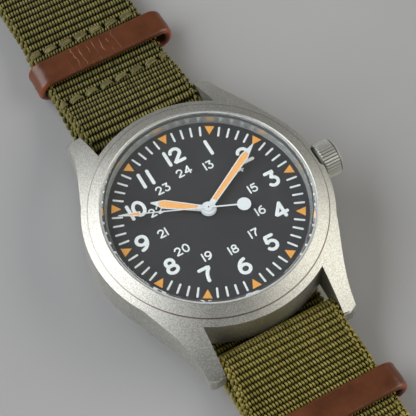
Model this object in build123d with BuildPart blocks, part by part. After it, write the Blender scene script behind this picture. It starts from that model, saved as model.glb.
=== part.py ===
from build123d import *
import os
from math import acos, atan2, cos, degrees, hypot, pi, radians, sin

os.makedirs("parts", exist_ok=True)

# A hand-wound field watch on a two-layer pull-through strap, laid open on a flat surface.
# X runs to 3 o'clock, Y to 12 o'clock and Z up through the crystal. Z is zero where it lies.
# All sizes are in millimetres.

# General fits
overrun = 2.0
running_gap = 0.04
thread_gap = 0.05
slip_gap = 0.05

# Webbing and its path
web_side_gap = 0.1
web_thick = 1.3
bar_wrap_gap = 0.05
turn_radius = 0.65
tail_past_holes = 22.0
tail_ease = 14.8
tail_tip = 9.0
hole_radius = 1.0
hole_count = 9
hole_pitch = 8.0
hole_start = 12.0
strip_past_12 = 3.25
strip_past_6 = 0.8
strip_rise = 1.2
fold_lap_length = 2.0
fold_start = 16.0
tongue_slot = 2.8
tongue_slot_length = 6.0

# Leather keepers
keeper_thick = 1.2
keeper_slack = 0.15
keeper_12_left_gap = 0.15
keeper_12_right_gap = 1.6
keeper_6_left_gap = 0.6
keeper_6_right_gap = 1.9
keeper_round = 1.8
keeper_inner_round = 0.15
keeper_edge = 0.3
keeper_12_start = 12.9
keeper_12_length = 4.55
keeper_6_start = 10.6
keeper_6_length = 4.5

# Case
case_radius = 19.0
case_height = 9.5
case_foot_run = 0.8
case_foot_chamfer = 0.8
back_flange_height = 0.9
shoulder_run = 1.02
shoulder_rise = 0.68
bezel_run = 1.68
bezel_rise = 1.12
bezel_lip = 0.14
bezel_land = 0.06
joint_line = 0.03
joint_depth = 0.34
neck_wall = 0.65
neck_height = 0.75
lug_space = 20.0
lug_past_bar = 1.7
lug_tip_width = 2.45
lug_tip_radius = 0.3
lug_corner_radius = 0.9
lug_tip_rise = 0.15
lug_drop = 4.75
lug_foot_rise = 0.35
lug_crown = 0.22
lug_root_x_share = 0.86
lug_mid_x_share = 0.762
lug_mid_y_share = 0.752
lug_far_x_share = 0.688
lug_far_y_share = 0.96
lug_hole_depth = 1.0
crown_pocket_gap = 0.25
crown_pocket_depth = 0.6

# Crystal, flange and dial
crystal_thick = 1.3
crystal_bevel = 0.25
gasket_wall = 0.25
gasket_drop = 0.15
dial_room = 1.23
dial_thick = 0.4
dial_tuck = 0.25
flange_slope = 0.35
flange_margin = 0.4
wedge_margin = 0.65
wedge_length = 1.45
wedge_width = 1.5
wedge_height = 0.06
wedge_count = 12

# Case back
back_margin = 1.8
back_bevel = 0.6
back_floor = 1.15
boss_margin = 1.2
boss_wall = 1.0
boss_height = 1.05
notch_count = 6
notch_width = 2.6
notch_depth = 0.9
seal_wall = 0.7
seal_height = 0.45
boss_step = 0.6
ring_wall = 1.8

# Crown and stem
stem_drop = 1.42
crown_radius = 2.9
crown_sink = 0.1
crown_length = 3.7
crown_dome = 0.45
crown_dome_share = 0.25
crown_flat = 0.5
crown_chamfer = 0.45
crown_rim = 0.5
crown_rim_bevel = 0.2
crown_well_radius = 1.65
crown_well_depth = 2.1
flute_count = 36
flute_depth = 0.22
flute_share = 0.52
tube_radius = 1.25
tube_bore = 0.72
tube_reach = 1.4
o_ring_offset = 0.3
o_ring_length = 0.8
stem_radius = 0.6
stem_grip = 2.8
stem_tip_share = 0.336
stem_tip_radius = 0.3
stem_square = 0.72
stem_square_start_share = 0.383
stem_seat_start_share = 0.574
stem_seat_radius = 0.5
stem_collar_start_share = 0.703
stem_groove_start_share = 0.777
stem_groove_width = 0.5
stem_groove_radius = 0.35
stem_pull = 1.0
pinion_start_share = 0.578
pinion_end_share = 0.6875
pinion_radius = 1.2
pinion_teeth = 14
clutch_start_share = 0.445
clutch_end_share = 0.57
clutch_radius = 1.1
clutch_groove_radius = 0.8
clutch_groove_start_share = 0.5
clutch_groove_width = 0.4
clutch_travel = 0.6
clutch_tooth_depth = 0.15
clutch_tooth_width = 0.3
clutch_teeth = 6

# Keyless work
lever_thick = 0.18
lever_width_share = 0.086
lever_arm_share = 0.266
lever_pin_radius = 0.15
lever_rise = 0.17
yoke_arm_share = 0.281
yoke_pin_radius = 0.13
post_radius = 0.35
keyless_slot = 2.9
slot_start_share = 0.328

# Movement stack, measured down from the dial's underside
recess_depth = 0.92
plate_web = 0.45
train_space = 1.2
bridge_thick = 0.8
recess_clear = 0.12
wall_rim = 0.75
wheel_thick = 0.15
pivot_radius = 0.12
arbor_radius = 0.17
hub_radius = 0.5

# Going train
train_pitch_tip = 0.22
train_pitch_root = 0.34
tooth_base_share = 0.3
barrel_x_share = 0.336
barrel_y_share = 0.492
barrel_pitch_share = 0.328
barrel_teeth = 49
leaf_count = 7
great_bearing = 195.0
great_pitch_share = 0.244
great_teeth = 42
third_teeth = 42
third_pitch_share = 0.244
fourth_pitch_share = 0.1875
fourth_teeth = 35
escape_bearing = 248.0
escape_radius_share = 0.152
escape_root_share = 0.117
escape_teeth = 15
escape_tip_share = 0.25
escape_heel_share = 0.33
drum_step = 0.25
drum_wall = 0.2
drum_drop = 0.85
tooth_layer = 0.3
layer_gap = 0.05
cover_thick = 0.1
barrel_arbor_radius = 0.5
spring_strip = 0.14
spring_turns = 3
spiral_steps = 12
spring_inner = 1.0
spring_gap = 0.2

# Regulating work
balance_x_share = -0.414
balance_y_share = -0.516
balance_radius_share = 0.227
balance_rim = 0.4
balance_arm = 0.35
balance_arms = 3
balance_thick = 0.25
balance_drop = 0.5
fork_reach_share = 0.191
fork_length_share = 0.1875
fork_width = 0.4
fork_span_share = 0.13
fork_horn = 0.5
fork_slot = 0.42
roller_radius = 0.55
roller_pin_radius = 0.09
roller_pin_reach = 0.45
hair_inner = 0.45
hair_outer_share = 0.133
hair_strip = 0.06
hair_height = 0.15
hair_turns = 4
cock_thick = 0.35
cock_width = 2.2
cock_foot_x_share = 0.023
cock_foot_y_share = -0.734
cock_foot_radius_share = 0.117
pallet_cock_width = 0.9
pallet_cock_thick = 0.26
pallet_foot_share = 0.1875
pallet_foot_bearing = 270.0

# Winding work on the bridge
ratchet_pitch_share = 0.203
ratchet_teeth = 26
crown_wheel_pitch_share = 0.172
crown_wheel_teeth = 22
crown_wheel_bearing = 297.0
work_thick = 0.3
ring_tooth_height = 0.55
crown_slot_gap = 0.1
ring_tooth_width = 0.5
ring_tooth_inset = 0.15
click_width = 0.8
click_clear = 0.12
click_pivot_out_share = 0.32
click_pivot_bearing = 48.0
click_tip_bearing = 88.0
screw_radius = 0.75
screw_head = 0.3
screw_slot = 0.2
screw_shank = 0.4
screw_inset = 0.9
barrel_screw_bearing = 18.0
barrel_screw_far_bearing = 78.0
train_screw_bearing = 112.0
train_screw_far_bearing = 178.0
bridge_split_share = 0.09
bridge_low_share = -0.133
train_bridge_low_share = -0.27

# Motion work
cannon_teeth = 9
cannon_pitch_share = 0.05625
minute_wheel_teeth = 27
minute_leaf_count = 8
hour_wheel_teeth = 32
minute_bearing = 300.0
setting_teeth = 15
centre_tube_radius_share = 0.0234
seconds_arbor_radius_share = 0.0117
cannon_pipe_radius_share = 0.043
hour_pipe_radius_share = 0.0625
dial_hole_radius_share = 0.0742
motion_lift = 0.08
motion_layer = 0.25

# Hands, as shown: about ten past ten
hour_angle = 305.8
minute_angle = 61.0
second_angle = 293.2
hand_thick = 0.14
hour_hand_lift = 0.38
minute_hand_lift = 0.67
second_hand_lift = 0.93
second_thick = 0.1
hour_length_share = 0.677
hour_wide = 1.46
hour_narrow = 0.92
hour_wide_share = 0.77
minute_margin = 0.15
minute_wide = 1.22
minute_narrow = 0.86
minute_wide_share = 0.8
hand_point = 0.12
lume_border = 0.15
lume_start = 1.65
lume_end_share = 0.86
hour_boss = 1.2
minute_boss = 1.05
second_boss = 0.62
second_cap = 0.1
second_past = 0.45
second_width = 0.22
second_tail = 5.3
second_disc = 1.05
arrow_length = 3.3
arrow_wide = 0.8
arrow_border = 0.16
arrow_lume_length = 2.0

# Spring bars
bar_gap = 2.3
bar_rise = 2.0
bar_radius = 0.75
bar_bore = 0.5
bar_end_gap = 0.8
tip_radius = 0.46
tip_sunk = 1.2
tip_shoulder_gap = 0.45
tip_pivot_radius = 0.38
tip_seated = 0.85
coil_radius = 0.36
coil_wire = 0.14
coil_turns = 7

# Buckle
buckle_past_fold = 16.0
buckle_bar_radius = 0.8
buckle_bar_inset = 0.9
buckle_gap = 0.8
buckle_depth = 14.0
buckle_wire = 2.3
buckle_side = 2.6
buckle_corner = 3.2
buckle_edge = 0.5
tongue_width = 2.0
tongue_eye = 0.75
tongue_thick = 1.0
tongue_over = 0.7
tongue_lift = 0.06

# Radii that follow from the case's, outside in
bezel_radius = case_radius - shoulder_run
bore_radius = bezel_radius - bezel_run - bezel_land - bezel_lip
neck_radius = bore_radius + neck_wall
crystal_radius = bore_radius - gasket_wall
flange_top_radius = crystal_radius - flange_margin
dial_open_radius = flange_top_radius - flange_slope
dial_radius = dial_open_radius + dial_tuck
wedge_outer = dial_open_radius - wedge_margin
wedge_inner = wedge_outer - wedge_length
case_foot_radius = case_radius - case_foot_run
back_radius = case_foot_radius - back_margin
boss_radius = back_radius - boss_margin
ring_radius = boss_radius - boss_step
movement_radius = ring_radius - ring_wall
case_bore = ring_radius + thread_gap
boss_bore = boss_radius + thread_gap

# Hands that follow from the ring of wedges
minute_length = wedge_inner - minute_margin
hour_length = minute_length * hour_length_share
second_length = wedge_inner + second_past
arrow_start = second_length - arrow_length

# Plan of the movement, which follows its radius
stem_tip = stem_tip_share * movement_radius
stem_square_start = stem_square_start_share * movement_radius
stem_seat_start = stem_seat_start_share * movement_radius
stem_collar_start = stem_collar_start_share * movement_radius
stem_groove_start = stem_groove_start_share * movement_radius
pinion_start = pinion_start_share * movement_radius
pinion_end = pinion_end_share * movement_radius
clutch_start = clutch_start_share * movement_radius
clutch_end = clutch_end_share * movement_radius
clutch_groove_start = clutch_groove_start_share * movement_radius
lever_arm = lever_arm_share * movement_radius
lever_width = lever_width_share * movement_radius
yoke_arm = yoke_arm_share * movement_radius
slot_start = slot_start_share * movement_radius
barrel_x = barrel_x_share * movement_radius
barrel_y = barrel_y_share * movement_radius
barrel_pitch = barrel_pitch_share * movement_radius
great_pitch = great_pitch_share * movement_radius
third_pitch = third_pitch_share * movement_radius
fourth_pitch = fourth_pitch_share * movement_radius
escape_radius = escape_radius_share * movement_radius
escape_root = escape_root_share * movement_radius
balance_x = balance_x_share * movement_radius
balance_y = balance_y_share * movement_radius
balance_radius = balance_radius_share * movement_radius
fork_reach = fork_reach_share * movement_radius
fork_length = fork_length_share * movement_radius
fork_span = fork_span_share * movement_radius
hair_outer = hair_outer_share * movement_radius
cock_foot_x = cock_foot_x_share * movement_radius
cock_foot_y = cock_foot_y_share * movement_radius
cock_foot_radius = cock_foot_radius_share * movement_radius
pallet_foot = pallet_foot_share * movement_radius
ratchet_pitch = ratchet_pitch_share * movement_radius
crown_wheel_pitch = crown_wheel_pitch_share * movement_radius
click_pivot_out = click_pivot_out_share * movement_radius
bridge_split = bridge_split_share * movement_radius
bridge_low = bridge_low_share * movement_radius
train_bridge_low = train_bridge_low_share * movement_radius
cannon_pitch = cannon_pitch_share * movement_radius
centre_tube_radius = centre_tube_radius_share * movement_radius
seconds_arbor_radius = seconds_arbor_radius_share * movement_radius
cannon_pipe_radius = cannon_pipe_radius_share * movement_radius
hour_pipe_radius = hour_pipe_radius_share * movement_radius
dial_hole_radius = dial_hole_radius_share * movement_radius
drum_radius = barrel_pitch - drum_step
spring_outer = drum_radius - drum_wall - spring_gap
ring_tooth_outer = crown_wheel_pitch - ring_tooth_inset
ring_tooth_inner = ring_tooth_outer - ring_tooth_width
screw_out = movement_radius - screw_inset

# Crown, lugs and spring bars that follow from the case and the gap between its lugs
crown_start = case_radius - crown_sink
tube_end = case_radius + tube_reach
o_ring_start = case_radius + o_ring_offset
stem_end = crown_start + stem_grip
bar_reach = case_radius + bar_gap
lug_reach = bar_reach + lug_past_bar
bar_half = lug_space / 2 - bar_end_gap
tip_inner = bar_half - tip_sunk
tip_shoulder = lug_space / 2 - tip_shoulder_gap
tip_outer = lug_space / 2 + tip_seated

# Widths and places along the strap, each from the last
web_width = lug_space - 2 * web_side_gap
buckle_width = web_width + 2 * buckle_gap + 2 * buckle_side
buckle_bar_half = buckle_width / 2 - buckle_bar_inset
strip_turn = bar_reach + strip_rise
keeper_12_near = bar_reach + keeper_12_start
keeper_12_far = keeper_12_near + keeper_12_length
strip_end_12 = keeper_12_far + strip_past_12
fold_lap = strip_end_12 + fold_start
fold_root = fold_lap + fold_lap_length
buckle_bar_y = fold_root + buckle_past_fold
keeper_6_near = bar_reach + keeper_6_start
keeper_6_far = keeper_6_near + keeper_6_length
strip_end_6 = keeper_6_far + strip_past_6
tail_flat = strip_end_6 + tail_ease
hole_first = tail_flat + hole_start
tail_end = hole_first + (hole_count - 1) * hole_pitch + tail_past_holes

# Heights that follow
strip_top = web_thick
back_z = strip_top + web_thick
crystal_top = back_z + case_height
crystal_z = crystal_top - crystal_thick
dial_top = crystal_z - dial_room
move_top = dial_top - dial_thick
stem_z = move_top - stem_drop
case_bottom = back_z + back_flange_height
lug_foot = back_z + lug_foot_rise
bar_lift = back_z + bar_rise
bezel_foot_top = crystal_top - bezel_lip / 2 - bezel_rise
side_top = bezel_foot_top - shoulder_rise
lug_tip_top = side_top - lug_drop + lug_tip_rise
seat_z = bezel_foot_top - joint_depth
neck_top = seat_z + neck_height
boss_top = case_bottom + boss_height
floor_z = back_z + back_floor
plate_floor = move_top - recess_depth
plate_under = plate_floor - plate_web
bridge_top = plate_under - train_space
bridge_under = bridge_top - bridge_thick

# Levels inside the train
tooth_top = plate_under - layer_gap
tooth_low = tooth_top - tooth_layer
fourth_z = tooth_low - layer_gap / 2
third_z = fourth_z - tooth_layer - layer_gap
great_z = bridge_top + layer_gap + layer_gap / 2
drum_low = tooth_top - drum_drop
fork_z = great_z + wheel_thick
motion_z = plate_floor + motion_lift
hour_wheel_z = motion_z + motion_layer + motion_layer
balance_z = bridge_top - balance_drop
pallet_cock_z = balance_z + balance_thick + layer_gap
hair_z = balance_z - layer_gap - hair_height
cock_z = hair_z - layer_gap - layer_gap - cock_thick
work_z = bridge_under - layer_gap - work_thick


def at(radius, bearing):
    """A point at a radius and an ordinary angle from the X axis."""
    return (radius * cos(radians(bearing)), radius * sin(radians(bearing)))


def clock(along, across, angle):
    """A point along and to the right of a hand that stands at a clock angle from 12."""
    turn = radians(angle)
    return (along * sin(turn) + across * cos(turn), along * cos(turn) - across * sin(turn))


def bearing_of(start, end):
    return degrees(atan2(end[1] - start[1], end[0] - start[0]))


def toothed(centre, pitch_radius, teeth, first):
    """Corners of a wheel with flat-sided teeth, one of them centred on the angle first."""
    spacing = 2 * pi * pitch_radius / teeth
    tip = pitch_radius + train_pitch_tip * spacing
    root = pitch_radius - train_pitch_root * spacing
    half = degrees(tooth_base_share * spacing / root)
    corners = []
    for tooth in range(teeth):
        angle = first + tooth * 360 / teeth
        for radius, turn in ((root, angle - half), (tip, angle), (root, angle + half)):
            x, y = at(radius, turn)
            corners.append((centre[0] + x, centre[1] + y))
    return corners


def spiral(centre, inner, outer, turns, strip):
    """Corners of a wound strip between two radii."""
    steps = turns * spiral_steps
    inside = []
    outside = []
    for step in range(steps + 1):
        radius = inner + (outer - inner) * step / steps
        for side, row in ((-strip / 2, inside), (strip / 2, outside)):
            x, y = at(radius + side, step * 360 / spiral_steps)
            row.append((centre[0] + x, centre[1] + y))
    return outside + inside[::-1]


def save(built, label):
    built.part.label = label
    export_step(built.part, "parts/" + label + ".step")


# Pivots of the train, from the meshing wheels' own pitch radii
barrel_at = (barrel_x, barrel_y)
great_leaf = barrel_pitch * leaf_count / barrel_teeth
third_leaf = great_pitch * leaf_count / great_teeth
fourth_leaf = third_pitch * leaf_count / third_teeth
escape_leaf = fourth_pitch * leaf_count / fourth_teeth
great_step = at(barrel_pitch + great_leaf, great_bearing)
great_at = (barrel_x + great_step[0], barrel_y + great_step[1])
great_out = hypot(great_at[0], great_at[1])
to_third = great_pitch + third_leaf
third_out = third_pitch + fourth_leaf
third_turn = acos((great_out**2 + third_out**2 - to_third**2) / (2 * great_out * third_out))
third_at = at(third_out, bearing_of((0, 0), great_at) + degrees(third_turn))
fourth_at = (0, 0)
escape_at = at(fourth_pitch + escape_leaf, escape_bearing)
balance_at = (balance_x, balance_y)
fork_bearing = bearing_of(escape_at, balance_at)
fork_step = at(fork_reach, fork_bearing)
fork_at = (escape_at[0] + fork_step[0], escape_at[1] + fork_step[1])
pallet_step = at(pallet_foot, pallet_foot_bearing)
pallet_foot_at = (fork_at[0] + pallet_step[0], fork_at[1] + pallet_step[1])
minute_wheel_pitch = cannon_pitch * minute_wheel_teeth / cannon_teeth
minute_out = cannon_pitch + minute_wheel_pitch
minute_at = at(minute_out, minute_bearing)
minute_leaf = minute_out * minute_leaf_count / (minute_leaf_count + hour_wheel_teeth)
hour_wheel_pitch = minute_out - minute_leaf
setting_pitch = minute_wheel_pitch * setting_teeth / minute_wheel_teeth
setting_x = minute_at[0] + ((minute_wheel_pitch + setting_pitch) ** 2 - minute_at[1] ** 2) ** 0.5
setting_at = (setting_x, 0)
crown_wheel_step = at(ratchet_pitch + crown_wheel_pitch, crown_wheel_bearing)
crown_wheel_at = (barrel_x + crown_wheel_step[0], barrel_y + crown_wheel_step[1])

# Lugs: a plan outline cut to the radial slope of the top and to an upright end with round edges
with BuildPart() as lugs:
    with BuildSketch(Plane.XZ):
        with BuildLine():
            Polyline(
                (neck_radius, case_bottom),
                (neck_radius, side_top),
                (case_radius, side_top),
            )
            ThreePointArc(
                (case_radius, side_top),
                ((case_radius + lug_reach + lug_tip_width) / 2, side_top - lug_drop / 2 + lug_crown),
                (lug_reach + lug_tip_width, side_top - lug_drop),
            )
            Polyline(
                (lug_reach + lug_tip_width, side_top - lug_drop),
                (lug_reach + lug_tip_width + lug_tip_radius, side_top - lug_drop),
                (lug_reach + lug_tip_width + lug_tip_radius, lug_foot),
                (case_radius, lug_foot + case_foot_chamfer),
                (case_foot_radius, case_bottom),
                (neck_radius, case_bottom),
            )
        make_face()
    revolve(axis=Axis.Z)
    with BuildSketch(Plane.XY):
        with BuildLine():
            Polyline(
                (lug_space / 2, lug_reach),
                (lug_space / 2, case_bore / 2),
                (lug_root_x_share * case_radius, case_bore / 2),
                (
                    lug_root_x_share * case_radius,
                    case_radius * (1 - lug_root_x_share**2) ** 0.5,
                ),
            )
            Spline(
                (
                    lug_root_x_share * case_radius,
                    case_radius * (1 - lug_root_x_share**2) ** 0.5,
                ),
                (lug_mid_x_share * case_radius, lug_mid_y_share * case_radius),
                (lug_far_x_share * case_radius, lug_far_y_share * case_radius),
                (lug_space / 2 + lug_tip_width, lug_reach - lug_corner_radius),
            )
            RadiusArc(
                (lug_space / 2 + lug_tip_width, lug_reach - lug_corner_radius),
                (lug_space / 2 + lug_tip_width - lug_corner_radius, lug_reach),
                -lug_corner_radius,
            )
            Line(
                (lug_space / 2 + lug_tip_width - lug_corner_radius, lug_reach),
                (lug_space / 2, lug_reach),
            )
        make_face()
        mirror(about=Plane.YZ)
        mirror(about=Plane.XZ)
    extrude(amount=crystal_top, mode=Mode.INTERSECT)
    with BuildSketch(Plane.YZ):
        with Locations((0, (lug_foot + crystal_top) / 2)):
            Rectangle(2 * lug_reach - 2 * lug_tip_radius, crystal_top - lug_foot)
        with Locations((0, (lug_foot + lug_tip_top) / 2)):
            RectangleRounded(2 * lug_reach, lug_tip_top - lug_foot, lug_tip_radius)
    extrude(amount=case_radius, both=True, mode=Mode.INTERSECT)

# Middle case, with the bezel's seat and neck, the dial's ledge and the crown's pocket
with BuildPart() as mid_case:
    with BuildSketch(Plane.XZ):
        with BuildLine():
            Polyline(
                (case_foot_radius, case_bottom),
                (case_radius, case_bottom + case_foot_chamfer),
                (case_radius, side_top),
                (bezel_radius + joint_line, bezel_foot_top),
                (bezel_radius + joint_line, seat_z),
                (neck_radius, seat_z),
                (neck_radius, neck_top),
                (bore_radius, neck_top),
                (bore_radius, dial_top),
                (dial_radius + slip_gap, dial_top),
                (dial_radius + slip_gap, move_top),
                (case_bore, move_top),
                (case_bore, boss_top),
                (boss_bore, boss_top),
                (boss_bore, case_bottom + seal_height),
                (boss_radius + seal_wall, case_bottom + seal_height),
                (boss_radius + seal_wall, case_bottom),
                close=True,
            )
        make_face()
    revolve(axis=Axis.Z)
    add(lugs.part)
    with BuildSketch(Plane.YZ.offset(case_radius - crown_pocket_depth)):
        with Locations((0, stem_z)):
            Circle(crown_radius + crown_pocket_gap)
    extrude(amount=crown_pocket_depth + overrun, mode=Mode.SUBTRACT)
    with BuildSketch(Plane.YZ.offset(ring_radius - overrun / 2)):
        with Locations((0, stem_z)):
            Circle(tube_radius)
    extrude(amount=case_radius - ring_radius + overrun, mode=Mode.SUBTRACT)
    with BuildSketch(Plane.YZ):
        with Locations((bar_reach, bar_lift), (-bar_reach, bar_lift)):
            Circle(tip_pivot_radius + running_gap)
    extrude(amount=lug_space / 2 + lug_hole_depth, both=True, mode=Mode.SUBTRACT)

with BuildPart() as bezel:
    with BuildSketch(Plane.XZ):
        with BuildLine():
            Polyline(
                (neck_radius, seat_z),
                (bezel_radius, seat_z),
                (bezel_radius, bezel_foot_top),
                (bezel_radius - bezel_run, bezel_foot_top + bezel_rise),
                (bore_radius + bezel_lip, crystal_top),
                (bore_radius, crystal_top - bezel_lip),
                (bore_radius, neck_top),
                (neck_radius, neck_top),
                close=True,
            )
        make_face()
    revolve(axis=Axis.Z)

with BuildPart() as crystal:
    with BuildSketch(Plane.XZ):
        with BuildLine():
            Polyline(
                (0, crystal_z),
                (crystal_radius, crystal_z),
                (crystal_radius, crystal_top - crystal_bevel),
                (crystal_radius - crystal_bevel, crystal_top),
                (0, crystal_top),
                close=True,
            )
        make_face()
    revolve(axis=Axis.Z)

with BuildPart() as crystal_gasket:
    with BuildSketch(Plane.XY.offset(crystal_z)):
        Circle(bore_radius)
        Circle(crystal_radius, mode=Mode.SUBTRACT)
    extrude(amount=crystal_thick - gasket_drop)

with BuildPart() as dial_flange:
    with BuildSketch(Plane.XZ):
        with BuildLine():
            Polyline(
                (dial_open_radius, dial_top),
                (bore_radius, dial_top),
                (bore_radius, crystal_z),
                (flange_top_radius, crystal_z),
                close=True,
            )
        make_face()
    revolve(axis=Axis.Z)

with BuildPart() as dial:
    with BuildSketch(Plane.XY.offset(move_top)):
        Circle(dial_radius)
        Circle(dial_hole_radius, mode=Mode.SUBTRACT)
    extrude(amount=dial_thick)

with BuildPart() as hour_wedges:
    with BuildSketch(Plane.XY.offset(dial_top)):
        with PolarLocations(0, wedge_count):
            Polygon(
                (wedge_inner, 0),
                (wedge_outer, wedge_width / 2),
                (wedge_outer, -wedge_width / 2),
                align=None,
            )
    extrude(amount=wedge_height)

# Case back, with a threaded boss left plain and notches for its key
with BuildPart() as case_back:
    with BuildSketch(Plane.XZ):
        with BuildLine():
            Polyline(
                (0, back_z),
                (back_radius - back_bevel, back_z),
                (back_radius, back_z + back_bevel),
                (back_radius, case_bottom),
                (boss_radius, case_bottom),
                (boss_radius, boss_top),
                (boss_radius - boss_wall, boss_top),
                (boss_radius - boss_wall, floor_z),
                (0, floor_z),
                close=True,
            )
        make_face()
    revolve(axis=Axis.Z)
    with BuildSketch(Plane.XY.offset(back_z)):
        with PolarLocations(back_radius, notch_count):
            Rectangle(2 * notch_depth, notch_width)
    extrude(amount=back_floor / 2, mode=Mode.SUBTRACT)

with BuildPart() as back_gasket:
    with BuildSketch(Plane.XY.offset(case_bottom)):
        Circle(boss_radius + seal_wall)
        Circle(boss_bore, mode=Mode.SUBTRACT)
    extrude(amount=seal_height)

with BuildPart() as movement_ring:
    with BuildSketch(Plane.XY.offset(boss_top)):
        Circle(ring_radius)
        Circle(movement_radius, mode=Mode.SUBTRACT)
    extrude(amount=move_top - boss_top)
    with BuildSketch(Plane.YZ):
        with Locations((0, stem_z)):
            Rectangle(keyless_slot, keyless_slot)
    extrude(amount=ring_radius + overrun, mode=Mode.SUBTRACT)

with BuildPart() as crown_tube:
    with BuildSketch(Plane.YZ.offset(ring_radius)):
        with Locations((0, stem_z)):
            Circle(tube_radius)
            Circle(tube_bore, mode=Mode.SUBTRACT)
    extrude(amount=tube_end - ring_radius)

# Crown: turned on the stem's axis with a plain rim at its outer end, then fluted
crown_end = crown_start + crown_length
crown_rim_radius = crown_radius - flute_depth
stem_line = Axis((0, 0, stem_z), (1, 0, 0))
flute_corners = []
for flute in range(flute_count):
    for radius, share in (
        (crown_radius + slip_gap, 0),
        (crown_radius + slip_gap, 1 - flute_share),
        (crown_radius - flute_depth, 1 - flute_share / 2),
    ):
        flute_corners.append(at(radius, (flute + share) * 360 / flute_count))
with BuildPart() as crown:
    with BuildSketch(Plane.XZ):
        with BuildLine():
            Polyline(
                (crown_start, stem_z + crown_well_radius),
                (crown_start, stem_z + crown_radius - crown_chamfer),
                (crown_start + crown_chamfer, stem_z + crown_radius),
                (crown_end - crown_dome - crown_rim, stem_z + crown_radius),
                (crown_end - crown_dome - crown_rim, stem_z + crown_rim_radius),
                (crown_end - crown_dome - crown_rim_bevel, stem_z + crown_rim_radius),
                (crown_end - crown_dome, stem_z + crown_rim_radius - crown_rim_bevel),
            )
            ThreePointArc(
                (crown_end - crown_dome, stem_z + crown_rim_radius - crown_rim_bevel),
                (crown_end - crown_dome * crown_dome_share, stem_z + crown_radius / 2),
                (crown_end, stem_z + crown_flat),
            )
            Polyline(
                (crown_end, stem_z + crown_flat),
                (crown_end, stem_z),
                (stem_end, stem_z),
                (stem_end, stem_z + stem_radius),
                (crown_start + crown_well_depth, stem_z + stem_radius),
                (crown_start + crown_well_depth, stem_z + crown_well_radius),
                (crown_start, stem_z + crown_well_radius),
            )
        make_face()
    revolve(axis=stem_line)
    with BuildSketch(Plane.YZ.offset(crown_start - overrun)):
        with Locations((0, stem_z)):
            Polygon(*flute_corners, align=None)
    extrude(amount=crown_length + overrun + overrun, mode=Mode.INTERSECT)

with BuildPart() as crown_gasket:
    with BuildSketch(Plane.YZ.offset(o_ring_start)):
        with Locations((0, stem_z)):
            Circle(crown_well_radius)
            Circle(tube_radius + running_gap, mode=Mode.SUBTRACT)
    extrude(amount=o_ring_length)

groove_end = stem_groove_start + stem_groove_width
with BuildPart() as winding_stem:
    with BuildSketch(Plane.XZ):
        with BuildLine():
            Polyline(
                (stem_tip, stem_z),
                (stem_tip, stem_z + stem_tip_radius),
                (stem_square_start, stem_z + stem_tip_radius),
                (stem_square_start, stem_z + stem_tip_radius / 2),
                (stem_seat_start, stem_z + stem_tip_radius / 2),
                (stem_seat_start, stem_z + stem_seat_radius),
                (stem_collar_start, stem_z + stem_seat_radius),
                (stem_collar_start, stem_z + stem_radius),
                (stem_groove_start, stem_z + stem_radius),
                (stem_groove_start, stem_z + stem_groove_radius),
                (groove_end, stem_z + stem_groove_radius),
                (groove_end, stem_z + stem_radius),
                (stem_end, stem_z + stem_radius),
                (stem_end, stem_z),
                close=True,
            )
        make_face()
    revolve(axis=stem_line)
    with BuildSketch(Plane.YZ.offset(stem_square_start)):
        with Locations((0, stem_z)):
            Rectangle(stem_square, stem_square)
    extrude(amount=stem_seat_start - stem_square_start)

with BuildPart() as sliding_pinion:
    with BuildSketch(Plane.YZ.offset(clutch_start)):
        with Locations((0, stem_z)):
            Circle(clutch_radius)
    extrude(amount=clutch_end - clutch_start)
    with BuildSketch(Plane.YZ.offset(clutch_groove_start)):
        with Locations((0, stem_z)):
            Circle(clutch_radius + overrun)
            Circle(clutch_groove_radius, mode=Mode.SUBTRACT)
    extrude(amount=clutch_groove_width, mode=Mode.SUBTRACT)
    with BuildSketch(Plane.YZ.offset(clutch_start - overrun)):
        with Locations((0, stem_z)):
            Rectangle(stem_square + 2 * slip_gap, stem_square + 2 * slip_gap)
    extrude(amount=clutch_end - clutch_start + 2 * overrun, mode=Mode.SUBTRACT)
    with BuildSketch(Plane.YZ.offset(clutch_end - clutch_tooth_depth)):
        with Locations((0, stem_z)):
            with PolarLocations(clutch_radius, clutch_teeth):
                Rectangle(clutch_radius, clutch_tooth_width)
    extrude(amount=overrun, mode=Mode.SUBTRACT)

with BuildPart() as winding_pinion:
    with BuildSketch(Plane.YZ.offset(pinion_start)):
        with Locations((0, stem_z)):
            Polygon(*toothed((0, 0), pinion_radius, pinion_teeth, 0), align=None)
            Circle(stem_seat_radius + running_gap, mode=Mode.SUBTRACT)
    extrude(amount=pinion_end - pinion_start)

# Setting lever: its pin stands in the stem's groove
lever_z = stem_z + stem_radius + lever_rise / 2
groove_mid = stem_groove_start + stem_groove_width / 2
lever_at = (groove_mid + stem_pull / 2, -lever_arm)
with BuildPart() as setting_lever:
    with BuildSketch(Plane.XY.offset(lever_z)):
        with BuildLine():
            Line(lever_at, (groove_mid, 0))
            offset(amount=lever_width / 2)
        make_face()
    extrude(amount=lever_thick)
    with BuildSketch(Plane.XY.offset(stem_z + stem_groove_radius + layer_gap)):
        with Locations((groove_mid, 0)):
            Circle(lever_pin_radius)
    extrude(amount=lever_z - stem_z - stem_groove_radius)
    with BuildSketch(Plane.XY.offset(plate_floor)):
        with Locations(lever_at):
            Circle(post_radius + running_gap)
    extrude(amount=recess_depth, mode=Mode.SUBTRACT)

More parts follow.
